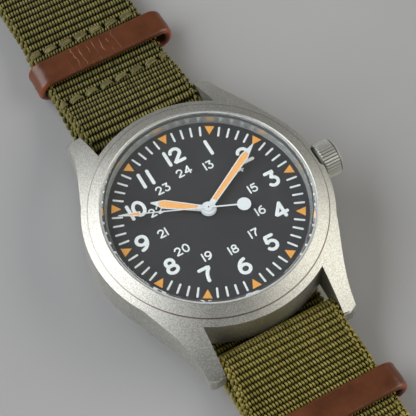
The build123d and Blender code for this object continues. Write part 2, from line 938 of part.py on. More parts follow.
# Yoke: its pin stands in the sliding pinion's groove
yoke_z = stem_z + clutch_radius + layer_gap / 2
clutch_mid = clutch_groove_start + clutch_groove_width / 2
yoke_at = (clutch_mid - clutch_travel / 2, yoke_arm)
with BuildPart() as yoke:
    with BuildSketch(Plane.XY.offset(yoke_z)):
        with BuildLine():
            Line(yoke_at, (clutch_mid, 0))
            offset(amount=lever_width / 2)
        make_face()
    extrude(amount=lever_thick)
    with BuildSketch(Plane.XY.offset(stem_z + clutch_groove_radius + layer_gap)):
        with Locations((clutch_mid, 0)):
            Circle(yoke_pin_radius)
    extrude(amount=yoke_z - stem_z - clutch_groove_radius)
    with BuildSketch(Plane.XY.offset(plate_floor)):
        with Locations(yoke_at):
            Circle(post_radius + running_gap)
    extrude(amount=recess_depth, mode=Mode.SUBTRACT)

# Main plate: dial side recessed for the motion work, train side open within a low wall
with BuildPart() as main_plate:
    with BuildSketch(Plane.XY.offset(plate_under)):
        Circle(movement_radius)
    extrude(amount=move_top - plate_under)
    with BuildSketch(Plane.XY.offset(bridge_top)):
        Circle(movement_radius)
        Circle(movement_radius - wall_rim, mode=Mode.SUBTRACT)
    extrude(amount=train_space)
    with BuildSketch(Plane.XY.offset(bridge_top)):
        with Locations((cock_foot_x, cock_foot_y)):
            Circle(cock_foot_radius)
    extrude(amount=train_space)
    with BuildSketch(Plane.XY.offset(pallet_cock_z + pallet_cock_thick)):
        with Locations(pallet_foot_at):
            Circle(pallet_cock_width / 2)
    extrude(amount=plate_under - pallet_cock_z - pallet_cock_thick)
    with BuildSketch(Plane.XY.offset(plate_floor)):
        Circle(hypot(*lever_at) + lever_width / 2 + recess_clear)
    extrude(amount=recess_depth + overrun, mode=Mode.SUBTRACT)
    with BuildSketch(Plane.XY.offset(bridge_under)):
        Circle(centre_tube_radius)
        with Locations(barrel_at):
            Circle(pivot_radius + running_gap)
        with Locations(great_at, third_at, escape_at, fork_at, balance_at):
            Circle(pivot_radius + running_gap)
        with Locations(((slot_start + movement_radius + overrun) / 2, 0)):
            Rectangle(movement_radius + overrun - slot_start, keyless_slot)
    extrude(amount=movement_radius, mode=Mode.SUBTRACT)
    with BuildSketch(Plane.XY.offset(plate_floor)):
        with Locations(minute_at, setting_at, lever_at, yoke_at):
            Circle(post_radius)
    extrude(amount=recess_depth - slip_gap)

with BuildPart() as centre_tube:
    with BuildSketch(Plane.XY.offset(plate_under)):
        Circle(centre_tube_radius)
        Circle(seconds_arbor_radius + running_gap, mode=Mode.SUBTRACT)
    extrude(amount=dial_top + hour_hand_lift - plate_under)

# Barrel: toothed floor, wall, cover, arbor and wound strip
with BuildPart() as barrel_drum:
    with BuildSketch(Plane.XY.offset(tooth_low)):
        Polygon(*toothed(barrel_at, barrel_pitch, barrel_teeth, great_bearing), align=None)
    extrude(amount=tooth_layer)
    with BuildSketch(Plane.XY.offset(drum_low)):
        with Locations(barrel_at):
            Circle(drum_radius)
            Circle(drum_radius - drum_wall, mode=Mode.SUBTRACT)
    extrude(amount=tooth_low - drum_low)
    with BuildSketch(Plane.XY.offset(drum_low)):
        with Locations(barrel_at):
            Circle(barrel_arbor_radius + running_gap)
    extrude(amount=drum_drop, mode=Mode.SUBTRACT)

with BuildPart() as barrel_cover:
    with BuildSketch(Plane.XY.offset(drum_low)):
        with Locations(barrel_at):
            Circle(drum_radius - drum_wall)
            Circle(barrel_arbor_radius + running_gap, mode=Mode.SUBTRACT)
    extrude(amount=cover_thick)

with BuildPart() as barrel_arbor:
    with BuildSketch(Plane.XY.offset(work_z)):
        with Locations(barrel_at):
            Circle(barrel_arbor_radius)
    extrude(amount=tooth_top + layer_gap - work_z)
    with BuildSketch(Plane.XY.offset(drum_low + cover_thick + layer_gap)):
        with Locations(barrel_at):
            Circle(spring_inner - spring_strip)
    extrude(amount=tooth_low - drum_low - cover_thick - layer_gap - layer_gap)
    with BuildSketch(Plane.XY.offset(tooth_top)):
        with Locations(barrel_at):
            Circle(pivot_radius)
    extrude(amount=plate_floor - tooth_top)

with BuildPart() as mainspring:
    with BuildSketch(Plane.XY.offset(drum_low + cover_thick + layer_gap)):
        Polygon(
            *spiral(barrel_at, spring_inner, spring_outer, spring_turns, spring_strip),
            align=None,
        )
    extrude(amount=tooth_low - drum_low - cover_thick - layer_gap - layer_gap)


def wheel_and_leaves(name, centre, wheel_z, pitch, teeth, first, leaf_z, leaf_pitch, leaf_first, low, high):
    """One wheel with its leaves, arbor and pivots."""
    with BuildPart() as built:
        with BuildSketch(Plane.XY.offset(wheel_z)):
            Polygon(*toothed(centre, pitch, teeth, first), align=None)
        extrude(amount=wheel_thick)
        with BuildSketch(Plane.XY.offset(leaf_z)):
            Polygon(*toothed(centre, leaf_pitch, leaf_count, leaf_first), align=None)
        extrude(amount=tooth_layer)
        with BuildSketch(Plane.XY.offset(min(wheel_z, leaf_z))):
            with Locations(centre):
                Circle(arbor_radius)
        extrude(amount=abs(leaf_z - wheel_z) + wheel_thick)
        with BuildSketch(Plane.XY.offset(low)):
            with Locations(centre):
                Circle(pivot_radius)
        extrude(amount=high - low)
    save(built, name)


def facing(teeth, bearing):
    """The angle that sets a gap, not a tooth, toward a bearing."""
    return bearing + 180 / teeth


to_great = great_bearing + 180
great_to_third = bearing_of(great_at, third_at)
third_to_fourth = bearing_of(third_at, fourth_at)
wheel_and_leaves(
    "great_wheel",
    great_at,
    great_z,
    great_pitch,
    great_teeth,
    great_to_third,
    tooth_low,
    great_leaf,
    facing(leaf_count, to_great),
    bridge_under + layer_gap,
    plate_floor - layer_gap,
)
wheel_and_leaves(
    "third_wheel",
    third_at,
    third_z,
    third_pitch,
    third_teeth,
    third_to_fourth,
    great_z,
    third_leaf,
    facing(leaf_count, great_to_third + 180),
    bridge_under + layer_gap,
    plate_floor - layer_gap,
)
with BuildPart() as fourth_wheel:
    with BuildSketch(Plane.XY.offset(fourth_z)):
        Polygon(
            *toothed(fourth_at, fourth_pitch, fourth_teeth, escape_bearing),
            align=None,
        )
    extrude(amount=wheel_thick)
    with BuildSketch(Plane.XY.offset(third_z - layer_gap)):
        Polygon(
            *toothed(fourth_at, fourth_leaf, leaf_count, facing(leaf_count, third_to_fourth + 180)),
            align=None,
        )
    extrude(amount=tooth_layer)
    with BuildSketch(Plane.XY.offset(bridge_under + layer_gap)):
        Circle(pivot_radius)
    extrude(amount=third_z - bridge_under)
    with BuildSketch(Plane.XY.offset(third_z - layer_gap)):
        Circle(seconds_arbor_radius)
    extrude(amount=dial_top + second_hand_lift + second_thick - third_z + layer_gap)

with BuildPart() as escape_wheel:
    with BuildSketch(Plane.XY.offset(fork_z)):
        with BuildLine():
            corners = []
            for tooth in range(escape_teeth):
                for radius, share in (
                    (escape_root, 0),
                    (escape_radius, escape_tip_share),
                    (escape_root, escape_heel_share),
                ):
                    x, y = at(radius, (tooth + share) * 360 / escape_teeth)
                    corners.append((escape_at[0] + x, escape_at[1] + y))
            Polyline(*corners, close=True)
        make_face()
        with Locations(escape_at):
            Circle(escape_root - hub_radius / 2, mode=Mode.SUBTRACT)
            Rectangle(2 * escape_root - hub_radius / 2, arbor_radius)
            Rectangle(arbor_radius, 2 * escape_root - hub_radius / 2)
            Circle(hub_radius)
    extrude(amount=wheel_thick)
    with BuildSketch(Plane.XY.offset(fork_z)):
        with Locations(escape_at):
            Circle(arbor_radius)
    extrude(amount=fourth_z - fork_z)
    with BuildSketch(Plane.XY.offset(tooth_low - layer_gap)):
        Polygon(
            *toothed(escape_at, escape_leaf, leaf_count, facing(leaf_count, escape_bearing + 180)),
            align=None,
        )
    extrude(amount=tooth_layer)
    with BuildSketch(Plane.XY.offset(bridge_under + layer_gap)):
        with Locations(escape_at):
            Circle(pivot_radius)
    extrude(amount=plate_floor - bridge_under - layer_gap - layer_gap)

# Pallet fork, balance and roller, hairspring and their cocks
fork_plane = Plane(origin=(fork_at[0], fork_at[1], fork_z), x_dir=(*at(1, fork_bearing), 0))
stone_x = fork_span - fork_reach
with BuildPart() as pallet_fork:
    with BuildSketch(fork_plane):
        with Locations((fork_length / 2, 0)):
            Rectangle(fork_length, fork_width)
        with BuildLine():
            Line((0, 0), (stone_x, fork_span))
            offset(amount=fork_width / 2)
        make_face()
        with BuildLine():
            Line((0, 0), (stone_x, -fork_span))
            offset(amount=fork_width / 2)
        make_face()
        with Locations((fork_length - fork_horn / 2, 0)):
            Rectangle(2 * fork_horn, 2 * fork_slot)
        with Locations((fork_length + fork_horn, 0)):
            Rectangle(2 * fork_horn, fork_slot, mode=Mode.SUBTRACT)
    extrude(amount=wheel_thick)
    with BuildSketch(Plane.XY.offset(pallet_cock_z)):
        with Locations(fork_at):
            Circle(pivot_radius)
    extrude(amount=plate_floor - pallet_cock_z - layer_gap)

with BuildPart() as balance_wheel:
    with BuildSketch(Plane.XY.offset(balance_z)):
        with Locations(balance_at):
            Circle(balance_radius)
            Circle(balance_radius - balance_rim, mode=Mode.SUBTRACT)
            with PolarLocations(balance_radius / 2, balance_arms):
                Rectangle(balance_radius - balance_rim / 2, balance_arm)
            Circle(hub_radius)
    extrude(amount=balance_thick)
    with BuildSketch(Plane.XY.offset(cock_z + layer_gap)):
        with Locations(balance_at):
            Circle(pivot_radius)
    extrude(amount=plate_floor - cock_z - layer_gap - layer_gap)
    with BuildSketch(Plane.XY.offset(balance_z + balance_thick)):
        with Locations(balance_at):
            Circle(roller_radius)
    extrude(amount=fork_z - layer_gap - balance_z - balance_thick)
    roller_step = at(roller_pin_reach, fork_bearing + 180)
    with BuildSketch(Plane.XY.offset(balance_z + balance_thick)):
        with Locations((balance_at[0] + roller_step[0], balance_at[1] + roller_step[1])):
            Circle(roller_pin_radius)
    extrude(amount=fork_z + wheel_thick - balance_z - balance_thick)

with BuildPart() as hairspring:
    with BuildSketch(Plane.XY.offset(hair_z)):
        Polygon(*spiral(balance_at, hair_inner, hair_outer, hair_turns, hair_strip), align=None)
    extrude(amount=hair_height)

with BuildPart() as cocks:
    with BuildSketch(Plane.XY.offset(cock_z)):
        with BuildLine():
            Line((cock_foot_x, cock_foot_y), balance_at)
            offset(amount=cock_width / 2)
        make_face()
        with Locations((cock_foot_x, cock_foot_y)):
            Circle(cock_foot_radius)
        with Locations(balance_at):
            Circle(pivot_radius + running_gap, mode=Mode.SUBTRACT)
    extrude(amount=cock_thick)
    with BuildSketch(Plane.XY.offset(cock_z + cock_thick)):
        with Locations((cock_foot_x, cock_foot_y)):
            Circle(cock_foot_radius)
    extrude(amount=bridge_top - cock_z - cock_thick)
    with BuildSketch(Plane.XY.offset(pallet_cock_z)):
        with BuildLine():
            Line(fork_at, pallet_foot_at)
            offset(amount=pallet_cock_width / 2)
        make_face()
        with Locations(fork_at):
            Circle(pivot_radius + running_gap, mode=Mode.SUBTRACT)
    extrude(amount=pallet_cock_thick)

# Bridges, rim screws and the winding work that sits on them
ratchet_tip = ratchet_pitch * (1 + train_pitch_tip * 2 * pi / ratchet_teeth)
click_step = at(click_pivot_out, click_pivot_bearing)
click_at = (barrel_x + click_step[0], barrel_y + click_step[1])
click_tip_step = at(ratchet_tip + click_width / 2 + click_clear, click_tip_bearing)
click_tip = (barrel_x + click_tip_step[0], barrel_y + click_tip_step[1])
barrel_screws = [at(screw_out, barrel_screw_bearing), at(screw_out, barrel_screw_far_bearing)]
train_screws = [at(screw_out, train_screw_bearing), at(screw_out, train_screw_far_bearing)]
with BuildPart() as barrel_bridge:
    with BuildSketch(Plane.XY.offset(bridge_under)):
        with Locations((bridge_split + movement_radius / 2, bridge_low + movement_radius)):
            Rectangle(movement_radius, 2 * movement_radius)
        with Locations((movement_radius + bridge_split, bridge_low + movement_radius)):
            Rectangle(movement_radius, 2 * movement_radius)
        Circle(movement_radius, mode=Mode.INTERSECT)
        with Locations(barrel_at):
            Circle(barrel_arbor_radius + running_gap, mode=Mode.SUBTRACT)
        with Locations(*barrel_screws, crown_wheel_at):
            Circle(screw_shank, mode=Mode.SUBTRACT)
    extrude(amount=bridge_thick)
    with BuildSketch(Plane.XY.offset(bridge_under - overrun)):
        with Locations(crown_wheel_at):
            Circle(ring_tooth_outer + layer_gap)
            Circle(ring_tooth_inner - layer_gap, mode=Mode.SUBTRACT)
    extrude(amount=overrun + ring_tooth_height + layer_gap, mode=Mode.SUBTRACT)
    with BuildSketch(Plane.XY.offset(work_z + work_thick + ring_tooth_height)):
        with Locations(((pinion_start + pinion_end) / 2, 0)):
            Rectangle(pinion_end - pinion_start + 2 * crown_slot_gap, keyless_slot)
    extrude(amount=bridge_thick, mode=Mode.SUBTRACT)
    with BuildSketch(Plane.XY.offset(work_z)):
        with Locations(click_at):
            Circle(pivot_radius)
    extrude(amount=bridge_under - work_z)

with BuildPart() as train_bridge:
    with BuildSketch(Plane.XY.offset(bridge_under)):
        with Locations((bridge_split - slip_gap - movement_radius, train_bridge_low + movement_radius)):
            Rectangle(2 * movement_radius, 2 * movement_radius)
        Circle(movement_radius, mode=Mode.INTERSECT)
        with Locations(great_at, third_at, fourth_at, escape_at):
            Circle(pivot_radius + running_gap, mode=Mode.SUBTRACT)
        with Locations(*train_screws):
            Circle(screw_shank, mode=Mode.SUBTRACT)
    extrude(amount=bridge_thick)

with BuildPart() as bridge_screws:
    with BuildSketch(Plane.XY.offset(bridge_under - screw_head)):
        with Locations(*barrel_screws, *train_screws):
            Circle(screw_radius)
    extrude(amount=screw_head)
    with BuildSketch(Plane.XY.offset(bridge_under)):
        with Locations(*barrel_screws, *train_screws):
            Circle(screw_shank)
    extrude(amount=bridge_thick)
    with BuildSketch(Plane.XY.offset(bridge_under - screw_head)):
        with Locations(*barrel_screws, *train_screws):
            Rectangle(2 * screw_radius + overrun, screw_slot)
    extrude(amount=screw_head / 2, mode=Mode.SUBTRACT)
    with BuildSketch(Plane.XY.offset(work_z - screw_head)):
        with Locations(crown_wheel_at):
            Circle(screw_radius)
    extrude(amount=screw_head - layer_gap)
    with BuildSketch(Plane.XY.offset(work_z - layer_gap)):
        with Locations(crown_wheel_at):
            Circle(screw_shank)
    extrude(amount=bridge_top - work_z + layer_gap)
    with BuildSketch(Plane.XY.offset(work_z - screw_head)):
        with Locations(crown_wheel_at):
            Rectangle(2 * screw_radius + overrun, screw_slot)
    extrude(amount=screw_head / 2, mode=Mode.SUBTRACT)

with BuildPart() as ratchet_wheel:
    with BuildSketch(Plane.XY.offset(work_z)):
        Polygon(*toothed(barrel_at, ratchet_pitch, ratchet_teeth, crown_wheel_bearing), align=None)
        with Locations(barrel_at):
            Circle(barrel_arbor_radius, mode=Mode.SUBTRACT)
    extrude(amount=work_thick)
    with BuildSketch(Plane.XY.offset(work_z - screw_head)):
        with Locations(barrel_at):
            Circle(screw_radius)
    extrude(amount=screw_head)
    with BuildSketch(Plane.XY.offset(work_z - screw_head)):
        with Locations(barrel_at):
            Rectangle(2 * screw_radius + overrun, screw_slot)
    extrude(amount=screw_head / 2, mode=Mode.SUBTRACT)

with BuildPart() as crown_wheel:
    with BuildSketch(Plane.XY.offset(work_z)):
        Polygon(
            *toothed(
                crown_wheel_at,
                crown_wheel_pitch,
                crown_wheel_teeth,
                facing(crown_wheel_teeth, crown_wheel_bearing + 180),
            ),
            align=None,
        )
        with Locations(crown_wheel_at):
            Circle(screw_shank + running_gap, mode=Mode.SUBTRACT)
    extrude(amount=work_thick)
    with BuildSketch(Plane.XY.offset(work_z + work_thick)):
        with Locations(crown_wheel_at):
            Circle(ring_tooth_outer)
            Circle(ring_tooth_inner, mode=Mode.SUBTRACT)
    extrude(amount=ring_tooth_height)
    with BuildSketch(Plane.XY.offset(bridge_top - bridge_thick / 2)):
        with Locations(crown_wheel_at):
            with PolarLocations(ring_tooth_outer, crown_wheel_teeth // 2):
                Rectangle(ring_tooth_outer, arbor_radius)
    extrude(amount=overrun, mode=Mode.SUBTRACT)

with BuildPart() as click:
    with BuildSketch(Plane.XY.offset(work_z)):
        with BuildLine():
            Line(click_at, click_tip)
            offset(amount=click_width / 2)
        make_face()
        with Locations(click_at):
            Circle(pivot_radius + running_gap, mode=Mode.SUBTRACT)
    extrude(amount=work_thick)

# Motion work under the dial
with BuildPart() as cannon_pinion:
    with BuildSketch(Plane.XY.offset(motion_z)):
        Polygon(*toothed((0, 0), cannon_pitch, cannon_teeth, minute_bearing), align=None)
    extrude(amount=motion_layer)
    with BuildSketch(Plane.XY.offset(motion_z)):
        Circle(cannon_pipe_radius)
    extrude(amount=dial_top + minute_hand_lift + hand_thick - motion_z)
    with BuildSketch(Plane.XY.offset(motion_z - overrun)):
        Circle(centre_tube_radius + running_gap)
    extrude(amount=crystal_top, mode=Mode.SUBTRACT)

leaf_turn = facing(minute_wheel_teeth, minute_bearing + 180)
with BuildPart() as minute_wheel:
    with BuildSketch(Plane.XY.offset(motion_z)):
        Polygon(*toothed(minute_at, minute_wheel_pitch, minute_wheel_teeth, leaf_turn), align=None)
    extrude(amount=motion_layer - layer_gap)
    with BuildSketch(Plane.XY.offset(motion_z + motion_layer - layer_gap)):
        Polygon(*toothed(minute_at, minute_leaf, minute_leaf_count, minute_bearing + 180), align=None)
    extrude(amount=motion_layer + motion_layer)
    with BuildSketch(Plane.XY.offset(motion_z - overrun)):
        with Locations(minute_at):
            Circle(post_radius + running_gap)
    extrude(amount=crystal_top, mode=Mode.SUBTRACT)

with BuildPart() as hour_wheel:
    with BuildSketch(Plane.XY.offset(hour_wheel_z)):
        Polygon(
            *toothed((0, 0), hour_wheel_pitch, hour_wheel_teeth, facing(hour_wheel_teeth, minute_bearing)),
            align=None,
        )
    extrude(amount=wheel_thick)
    with BuildSketch(Plane.XY.offset(hour_wheel_z)):
        Circle(hour_pipe_radius)
    extrude(amount=dial_top + hour_hand_lift + hand_thick - hour_wheel_z)
    with BuildSketch(Plane.XY.offset(motion_z)):
        Circle(cannon_pipe_radius + running_gap)
    extrude(amount=crystal_top, mode=Mode.SUBTRACT)

to_setting = bearing_of(minute_at, setting_at)
setting_gap = (to_setting - leaf_turn) * minute_wheel_teeth / 360
setting_first = to_setting + 180 + (setting_gap - round(setting_gap)) * 360 / setting_teeth
with BuildPart() as setting_wheel:
    with BuildSketch(Plane.XY.offset(motion_z)):
        Polygon(
            *toothed(setting_at, setting_pitch, setting_teeth, facing(setting_teeth, setting_first)),
            align=None,
        )
        with Locations(setting_at):
            Circle(post_radius + running_gap, mode=Mode.SUBTRACT)
    extrude(amount=motion_layer - layer_gap)

# Hands, with slots for their inlays
def hand_outline(wide, narrow, length, wide_share, angle):
    return [
        clock(0, -narrow / 2, angle),
        clock(length * wide_share, -wide / 2, angle),
        clock(length, -hand_point / 2, angle),
        clock(length, hand_point / 2, angle),
        clock(length * wide_share, wide / 2, angle),
        clock(0, narrow / 2, angle),
    ]


def lume_outline(wide, narrow, length, wide_share, angle):
    end = length * lume_end_share
    start_half = (narrow + (wide - narrow) * lume_start / (length * wide_share)) / 2 - lume_border
    end_half = wide / 2 * (1 - lume_end_share) / (1 - wide_share) - lume_border
    end_half = max(end_half, hand_point / 2)
    return [
        clock(lume_start, -start_half, angle),
        clock(length * wide_share, lume_border - wide / 2, angle),
        clock(end, -end_half, angle),
        clock(end, end_half, angle),
        clock(length * wide_share, wide / 2 - lume_border, angle),
        clock(lume_start, start_half, angle),
    ]


hour_shape = (hour_wide, hour_narrow, hour_length, hour_wide_share, hour_angle)
minute_shape = (minute_wide, minute_narrow, minute_length, minute_wide_share, minute_angle)
with BuildPart() as hour_hand:
    with BuildSketch(Plane.XY.offset(dial_top + hour_hand_lift)):
        Polygon(*hand_outline(*hour_shape), align=None)
        Circle(hour_boss)
        Circle(hour_pipe_radius, mode=Mode.SUBTRACT)
        Polygon(*lume_outline(*hour_shape), align=None, mode=Mode.SUBTRACT)
    extrude(amount=hand_thick)

with BuildPart() as hour_lume:
    with BuildSketch(Plane.XY.offset(dial_top + hour_hand_lift)):
        Polygon(*lume_outline(*hour_shape), align=None)
    extrude(amount=hand_thick)

with BuildPart() as minute_hand:
    with BuildSketch(Plane.XY.offset(dial_top + minute_hand_lift)):
        Polygon(*hand_outline(*minute_shape), align=None)
        Circle(minute_boss)
        Circle(cannon_pipe_radius, mode=Mode.SUBTRACT)
        Polygon(*lume_outline(*minute_shape), align=None, mode=Mode.SUBTRACT)
    extrude(amount=hand_thick)

with BuildPart() as minute_lume:
    with BuildSketch(Plane.XY.offset(dial_top + minute_hand_lift)):
        Polygon(*lume_outline(*minute_shape), align=None)
    extrude(amount=hand_thick)

second_z = dial_top + second_hand_lift
arrow = [
    clock(arrow_start, -arrow_wide / 2, second_angle),
    clock(second_length, -hand_point / 2, second_angle),
    clock(second_length, hand_point / 2, second_angle),
    clock(arrow_start, arrow_wide / 2, second_angle),
]
arrow_lume_start = arrow_start + arrow_border
arrow_lume = [
    clock(arrow_lume_start, arrow_border - arrow_wide / 2, second_angle),
    clock(arrow_lume_start + arrow_lume_length, 0, second_angle),
    clock(arrow_lume_start, arrow_wide / 2 - arrow_border, second_angle),
]
with BuildPart() as seconds_hand:
    with BuildSketch(Plane.XY.offset(second_z)):
        Polygon(
            clock(-second_tail, -second_width / 2, second_angle),
            clock(second_length, -hand_point / 2, second_angle),
            clock(second_length, hand_point / 2, second_angle),
            clock(-second_tail, second_width / 2, second_angle),
            align=None,
        )
        with Locations(clock(-second_tail, 0, second_angle)):
            Circle(second_disc)
        Circle(second_boss)
        Polygon(*arrow, align=None)
        Circle(seconds_arbor_radius, mode=Mode.SUBTRACT)
    extrude(amount=second_thick)
    with BuildSketch(Plane.XY.offset(second_z + second_thick)):
        Circle(second_boss - second_cap)
    extrude(amount=second_cap / 2)

with BuildPart() as seconds_lume:
    with BuildSketch(Plane.XY.offset(second_z + second_thick)):
        Polygon(*arrow_lume, align=None)
    extrude(amount=wedge_height)

# Spring bars: tube, coil spring and two sprung tips each
both_bars = ((bar_reach, bar_lift), (-bar_reach, bar_lift))
with BuildPart() as spring_bars:
    with BuildSketch(Plane.YZ.offset(-bar_half)):
        with Locations(*both_bars):
            Circle(bar_radius)
            Circle(bar_bore, mode=Mode.SUBTRACT)
    extrude(amount=2 * bar_half)

with BuildPart() as bar_springs:
    for bar_y, bar_z in both_bars:
        with BuildLine() as coil:
            Helix(
                pitch=2 * tip_inner / coil_turns,
                height=2 * tip_inner,
                radius=coil_radius,
                center=(-tip_inner, bar_y, bar_z),
                direction=(1, 0, 0),
            )
        with BuildSketch(Plane(origin=coil.line @ 0, z_dir=coil.line % 0)):
            Rectangle(coil_wire, coil_wire)
        sweep(path=coil.line, is_frenet=True)

for side, bar_y in (("12", bar_reach), ("6", -bar_reach)):
    for end, way in (("right", 1), ("left", -1)):
        with BuildPart() as bar_tip:
            with BuildSketch(Plane.YZ.offset(way * tip_inner)):
                with Locations((bar_y, bar_lift)):
                    Circle(tip_radius)
            extrude(amount=way * (tip_shoulder - tip_inner))
            with BuildSketch(Plane.YZ.offset(way * tip_shoulder)):
                with Locations((bar_y, bar_lift)):
                    Circle(tip_pivot_radius)
            extrude(amount=way * (tip_outer - tip_shoulder))
        save(bar_tip, "bar_tip_" + side + "_" + end)

# Webbing: heights of each layer's underside along its run
keeper_run = keeper_thick + web_thick
loop_inner = buckle_bar_radius + bar_wrap_gap
buckle_z = loop_inner + web_thick
bend_y = bar_reach - bar_radius - bar_wrap_gap - web_thick - turn_radius
bend_z = back_z + turn_radius


def easing(start, end):
    """A curve that leaves one height and meets another level with both."""
    middle = (start[0] + end[0]) / 2
    Bezier(start, (middle, start[1]), (middle, end[1]), end)


def over_bar(way, lift, wrap, bend):
    """The run from the top of a spring bar down its inner side to the case's underside."""
    top = (way * bar_reach, bar_lift + wrap)
    side = (way * (bar_reach - wrap), bar_lift)
    corner = wrap * 0.5**0.5
    ThreePointArc(top, (way * (bar_reach - corner), bar_lift + corner), side)
    foot = (way * (bend_y + bend), bend_z)
    Line(side, foot)
    corner = bend * 0.5**0.5
    ThreePointArc(foot, (way * (bend_y + corner), bend_z - corner), (way * bend_y, bend_z - bend))


def main_side(rise, wrap, bend):
    """One face of the main strap, from the buckle to the tail's end."""
    easing((buckle_bar_y, buckle_z + loop_inner + rise), (fold_root, web_thick + rise))
    Line((fold_root, web_thick + rise), (fold_lap, web_thick + rise))
    easing((fold_lap, web_thick + rise), (strip_end_12, keeper_run + rise))
    Line((strip_end_12, keeper_run + rise), (keeper_12_near, keeper_run + rise))
    easing((keeper_12_near, keeper_run + rise), (bar_reach, bar_lift + wrap))
    over_bar(1, rise, wrap, bend)
    Line((bend_y, bend_z - bend), (-bend_y, bend_z - bend))
    over_bar(-1, rise, wrap, bend)
    easing((-bar_reach, bar_lift + wrap), (-keeper_6_near, keeper_run + rise))
    Line((-keeper_6_near, keeper_run + rise), (-strip_end_6, keeper_run + rise))
    easing((-strip_end_6, keeper_run + rise), (-tail_flat, rise))
    Line((-tail_flat, rise), (-tail_end, rise))


inner_wrap = bar_radius + bar_wrap_gap
with BuildPart() as main_strap:
    with BuildSketch(Plane.YZ):
        with Locations((buckle_bar_y, buckle_z)):
            Circle(buckle_z)
            Circle(loop_inner, mode=Mode.SUBTRACT)
        with Locations((buckle_bar_y - buckle_z, buckle_z)):
            Rectangle(2 * buckle_z, 2 * buckle_z + overrun, mode=Mode.SUBTRACT)
        with Locations(((fold_lap + buckle_bar_y) / 2, web_thick / 2)):
            Rectangle(buckle_bar_y - fold_lap, web_thick)
        with BuildLine():
            main_side(0, inner_wrap, turn_radius + web_thick)
            Line((-tail_end, 0), (-tail_end, web_thick))
            main_side(web_thick, inner_wrap + web_thick, turn_radius)
            Line(
                (buckle_bar_y, buckle_z + loop_inner),
                (buckle_bar_y, buckle_z + loop_inner + web_thick),
            )
        make_face()
    extrude(amount=web_width / 2, both=True)
    with BuildSketch(Plane.XY):
        with BuildLine():
            Polyline(
                (web_width / 2, tail_tip - tail_end),
                (web_width / 2, buckle_bar_y + buckle_z),
                (-web_width / 2, buckle_bar_y + buckle_z),
                (-web_width / 2, tail_tip - tail_end),
            )
            ThreePointArc(
                (-web_width / 2, tail_tip - tail_end),
                (0, -tail_end),
                (web_width / 2, tail_tip - tail_end),
            )
        make_face()
    extrude(amount=crystal_top, mode=Mode.INTERSECT)
    with BuildSketch(Plane.XY):
        for hole in range(hole_count):
            with Locations((0, -hole_first - hole * hole_pitch)):
                Circle(hole_radius)
        with Locations((0, buckle_bar_y)):
            Rectangle(tongue_slot, tongue_slot_length)
    extrude(amount=crystal_top, mode=Mode.SUBTRACT)


def strip_side(rise):
    """One face of the second layer."""
    Line((strip_end_12, keeper_thick + rise), (keeper_12_near, keeper_thick + rise))
    easing((keeper_12_near, keeper_thick + rise), (strip_turn, rise))
    Line((strip_turn, rise), (-strip_turn, rise))
    easing((-strip_turn, rise), (-keeper_6_near, keeper_thick + rise))
    Line((-keeper_6_near, keeper_thick + rise), (-strip_end_6, keeper_thick + rise))


with BuildPart() as under_strip:
    with BuildSketch(Plane.YZ):
        with BuildLine():
            strip_side(0)
            Line((-strip_end_6, keeper_thick), (-strip_end_6, keeper_run))
            strip_side(web_thick)
            Line((strip_end_12, keeper_thick), (strip_end_12, keeper_run))
        make_face()
    extrude(amount=web_width / 2, both=True)

# Leather keepers around both layers
keeper_hole = web_thick + web_thick + keeper_slack
keeper_height = keeper_hole + 2 * keeper_thick
for side, keeper_y, keeper_length, left_gap, right_gap in (
    ("12", keeper_12_near, keeper_12_far - keeper_12_near, keeper_12_left_gap, keeper_12_right_gap),
    ("6", -keeper_6_far, keeper_6_far - keeper_6_near, keeper_6_left_gap, keeper_6_right_gap),
):
    keeper_inner = web_width + left_gap + right_gap
    with BuildPart() as keeper:
        with BuildSketch(Plane.XZ.offset(-keeper_y)):
            with Locations(((right_gap - left_gap) / 2, keeper_height / 2)):
                RectangleRounded(keeper_inner + 2 * keeper_thick, keeper_height, keeper_round)
                RectangleRounded(keeper_inner, keeper_hole, keeper_inner_round, mode=Mode.SUBTRACT)
        extrude(amount=-keeper_length)
        ends = keeper.faces().filter_by(Axis.Y)
        fillet([edge for face in ends for edge in face.outer_wire().edges()], keeper_edge)
    save(keeper, "keeper_" + side)

# Buckle: frame, its bar and the tongue that turns on the bar
frame_back = buckle_bar_y - buckle_wire / 2 - slip_gap
frame_front = buckle_bar_y + buckle_depth
with BuildPart() as buckle_frame:
    with BuildSketch(Plane.XY.offset(buckle_z - buckle_wire / 2)):
        with Locations((0, (frame_back + frame_front) / 2)):
            RectangleRounded(buckle_width, frame_front - frame_back, buckle_corner / 2)
        with Locations((0, (frame_back - overrun + frame_front - buckle_wire) / 2)):
            Rectangle(
                buckle_width - 2 * buckle_side,
                frame_front - buckle_wire - frame_back + overrun,
                mode=Mode.SUBTRACT,
            )
    extrude(amount=buckle_wire)
    fillet(buckle_frame.edges().filter_by(GeomType.CIRCLE), buckle_edge / 2)
    with BuildSketch(Plane.YZ.offset(-buckle_bar_half)):
        with Locations((buckle_bar_y, buckle_z)):
            Circle(buckle_bar_radius)
    extrude(amount=2 * buckle_bar_half)

tongue_z = buckle_z + buckle_wire / 2 + tongue_lift
with BuildPart() as buckle_tongue:
    with BuildSketch(Plane.YZ):
        with Locations((buckle_bar_y, buckle_z)):
            Circle(buckle_bar_radius + running_gap + tongue_eye)
        with Locations(((buckle_bar_y + frame_front + tongue_over) / 2, tongue_z + tongue_thick / 2)):
            Rectangle(frame_front + tongue_over - buckle_bar_y, tongue_thick)
        with Locations((buckle_bar_y, buckle_z)):
            Circle(buckle_bar_radius + running_gap, mode=Mode.SUBTRACT)
    extrude(amount=tongue_width / 2, both=True)

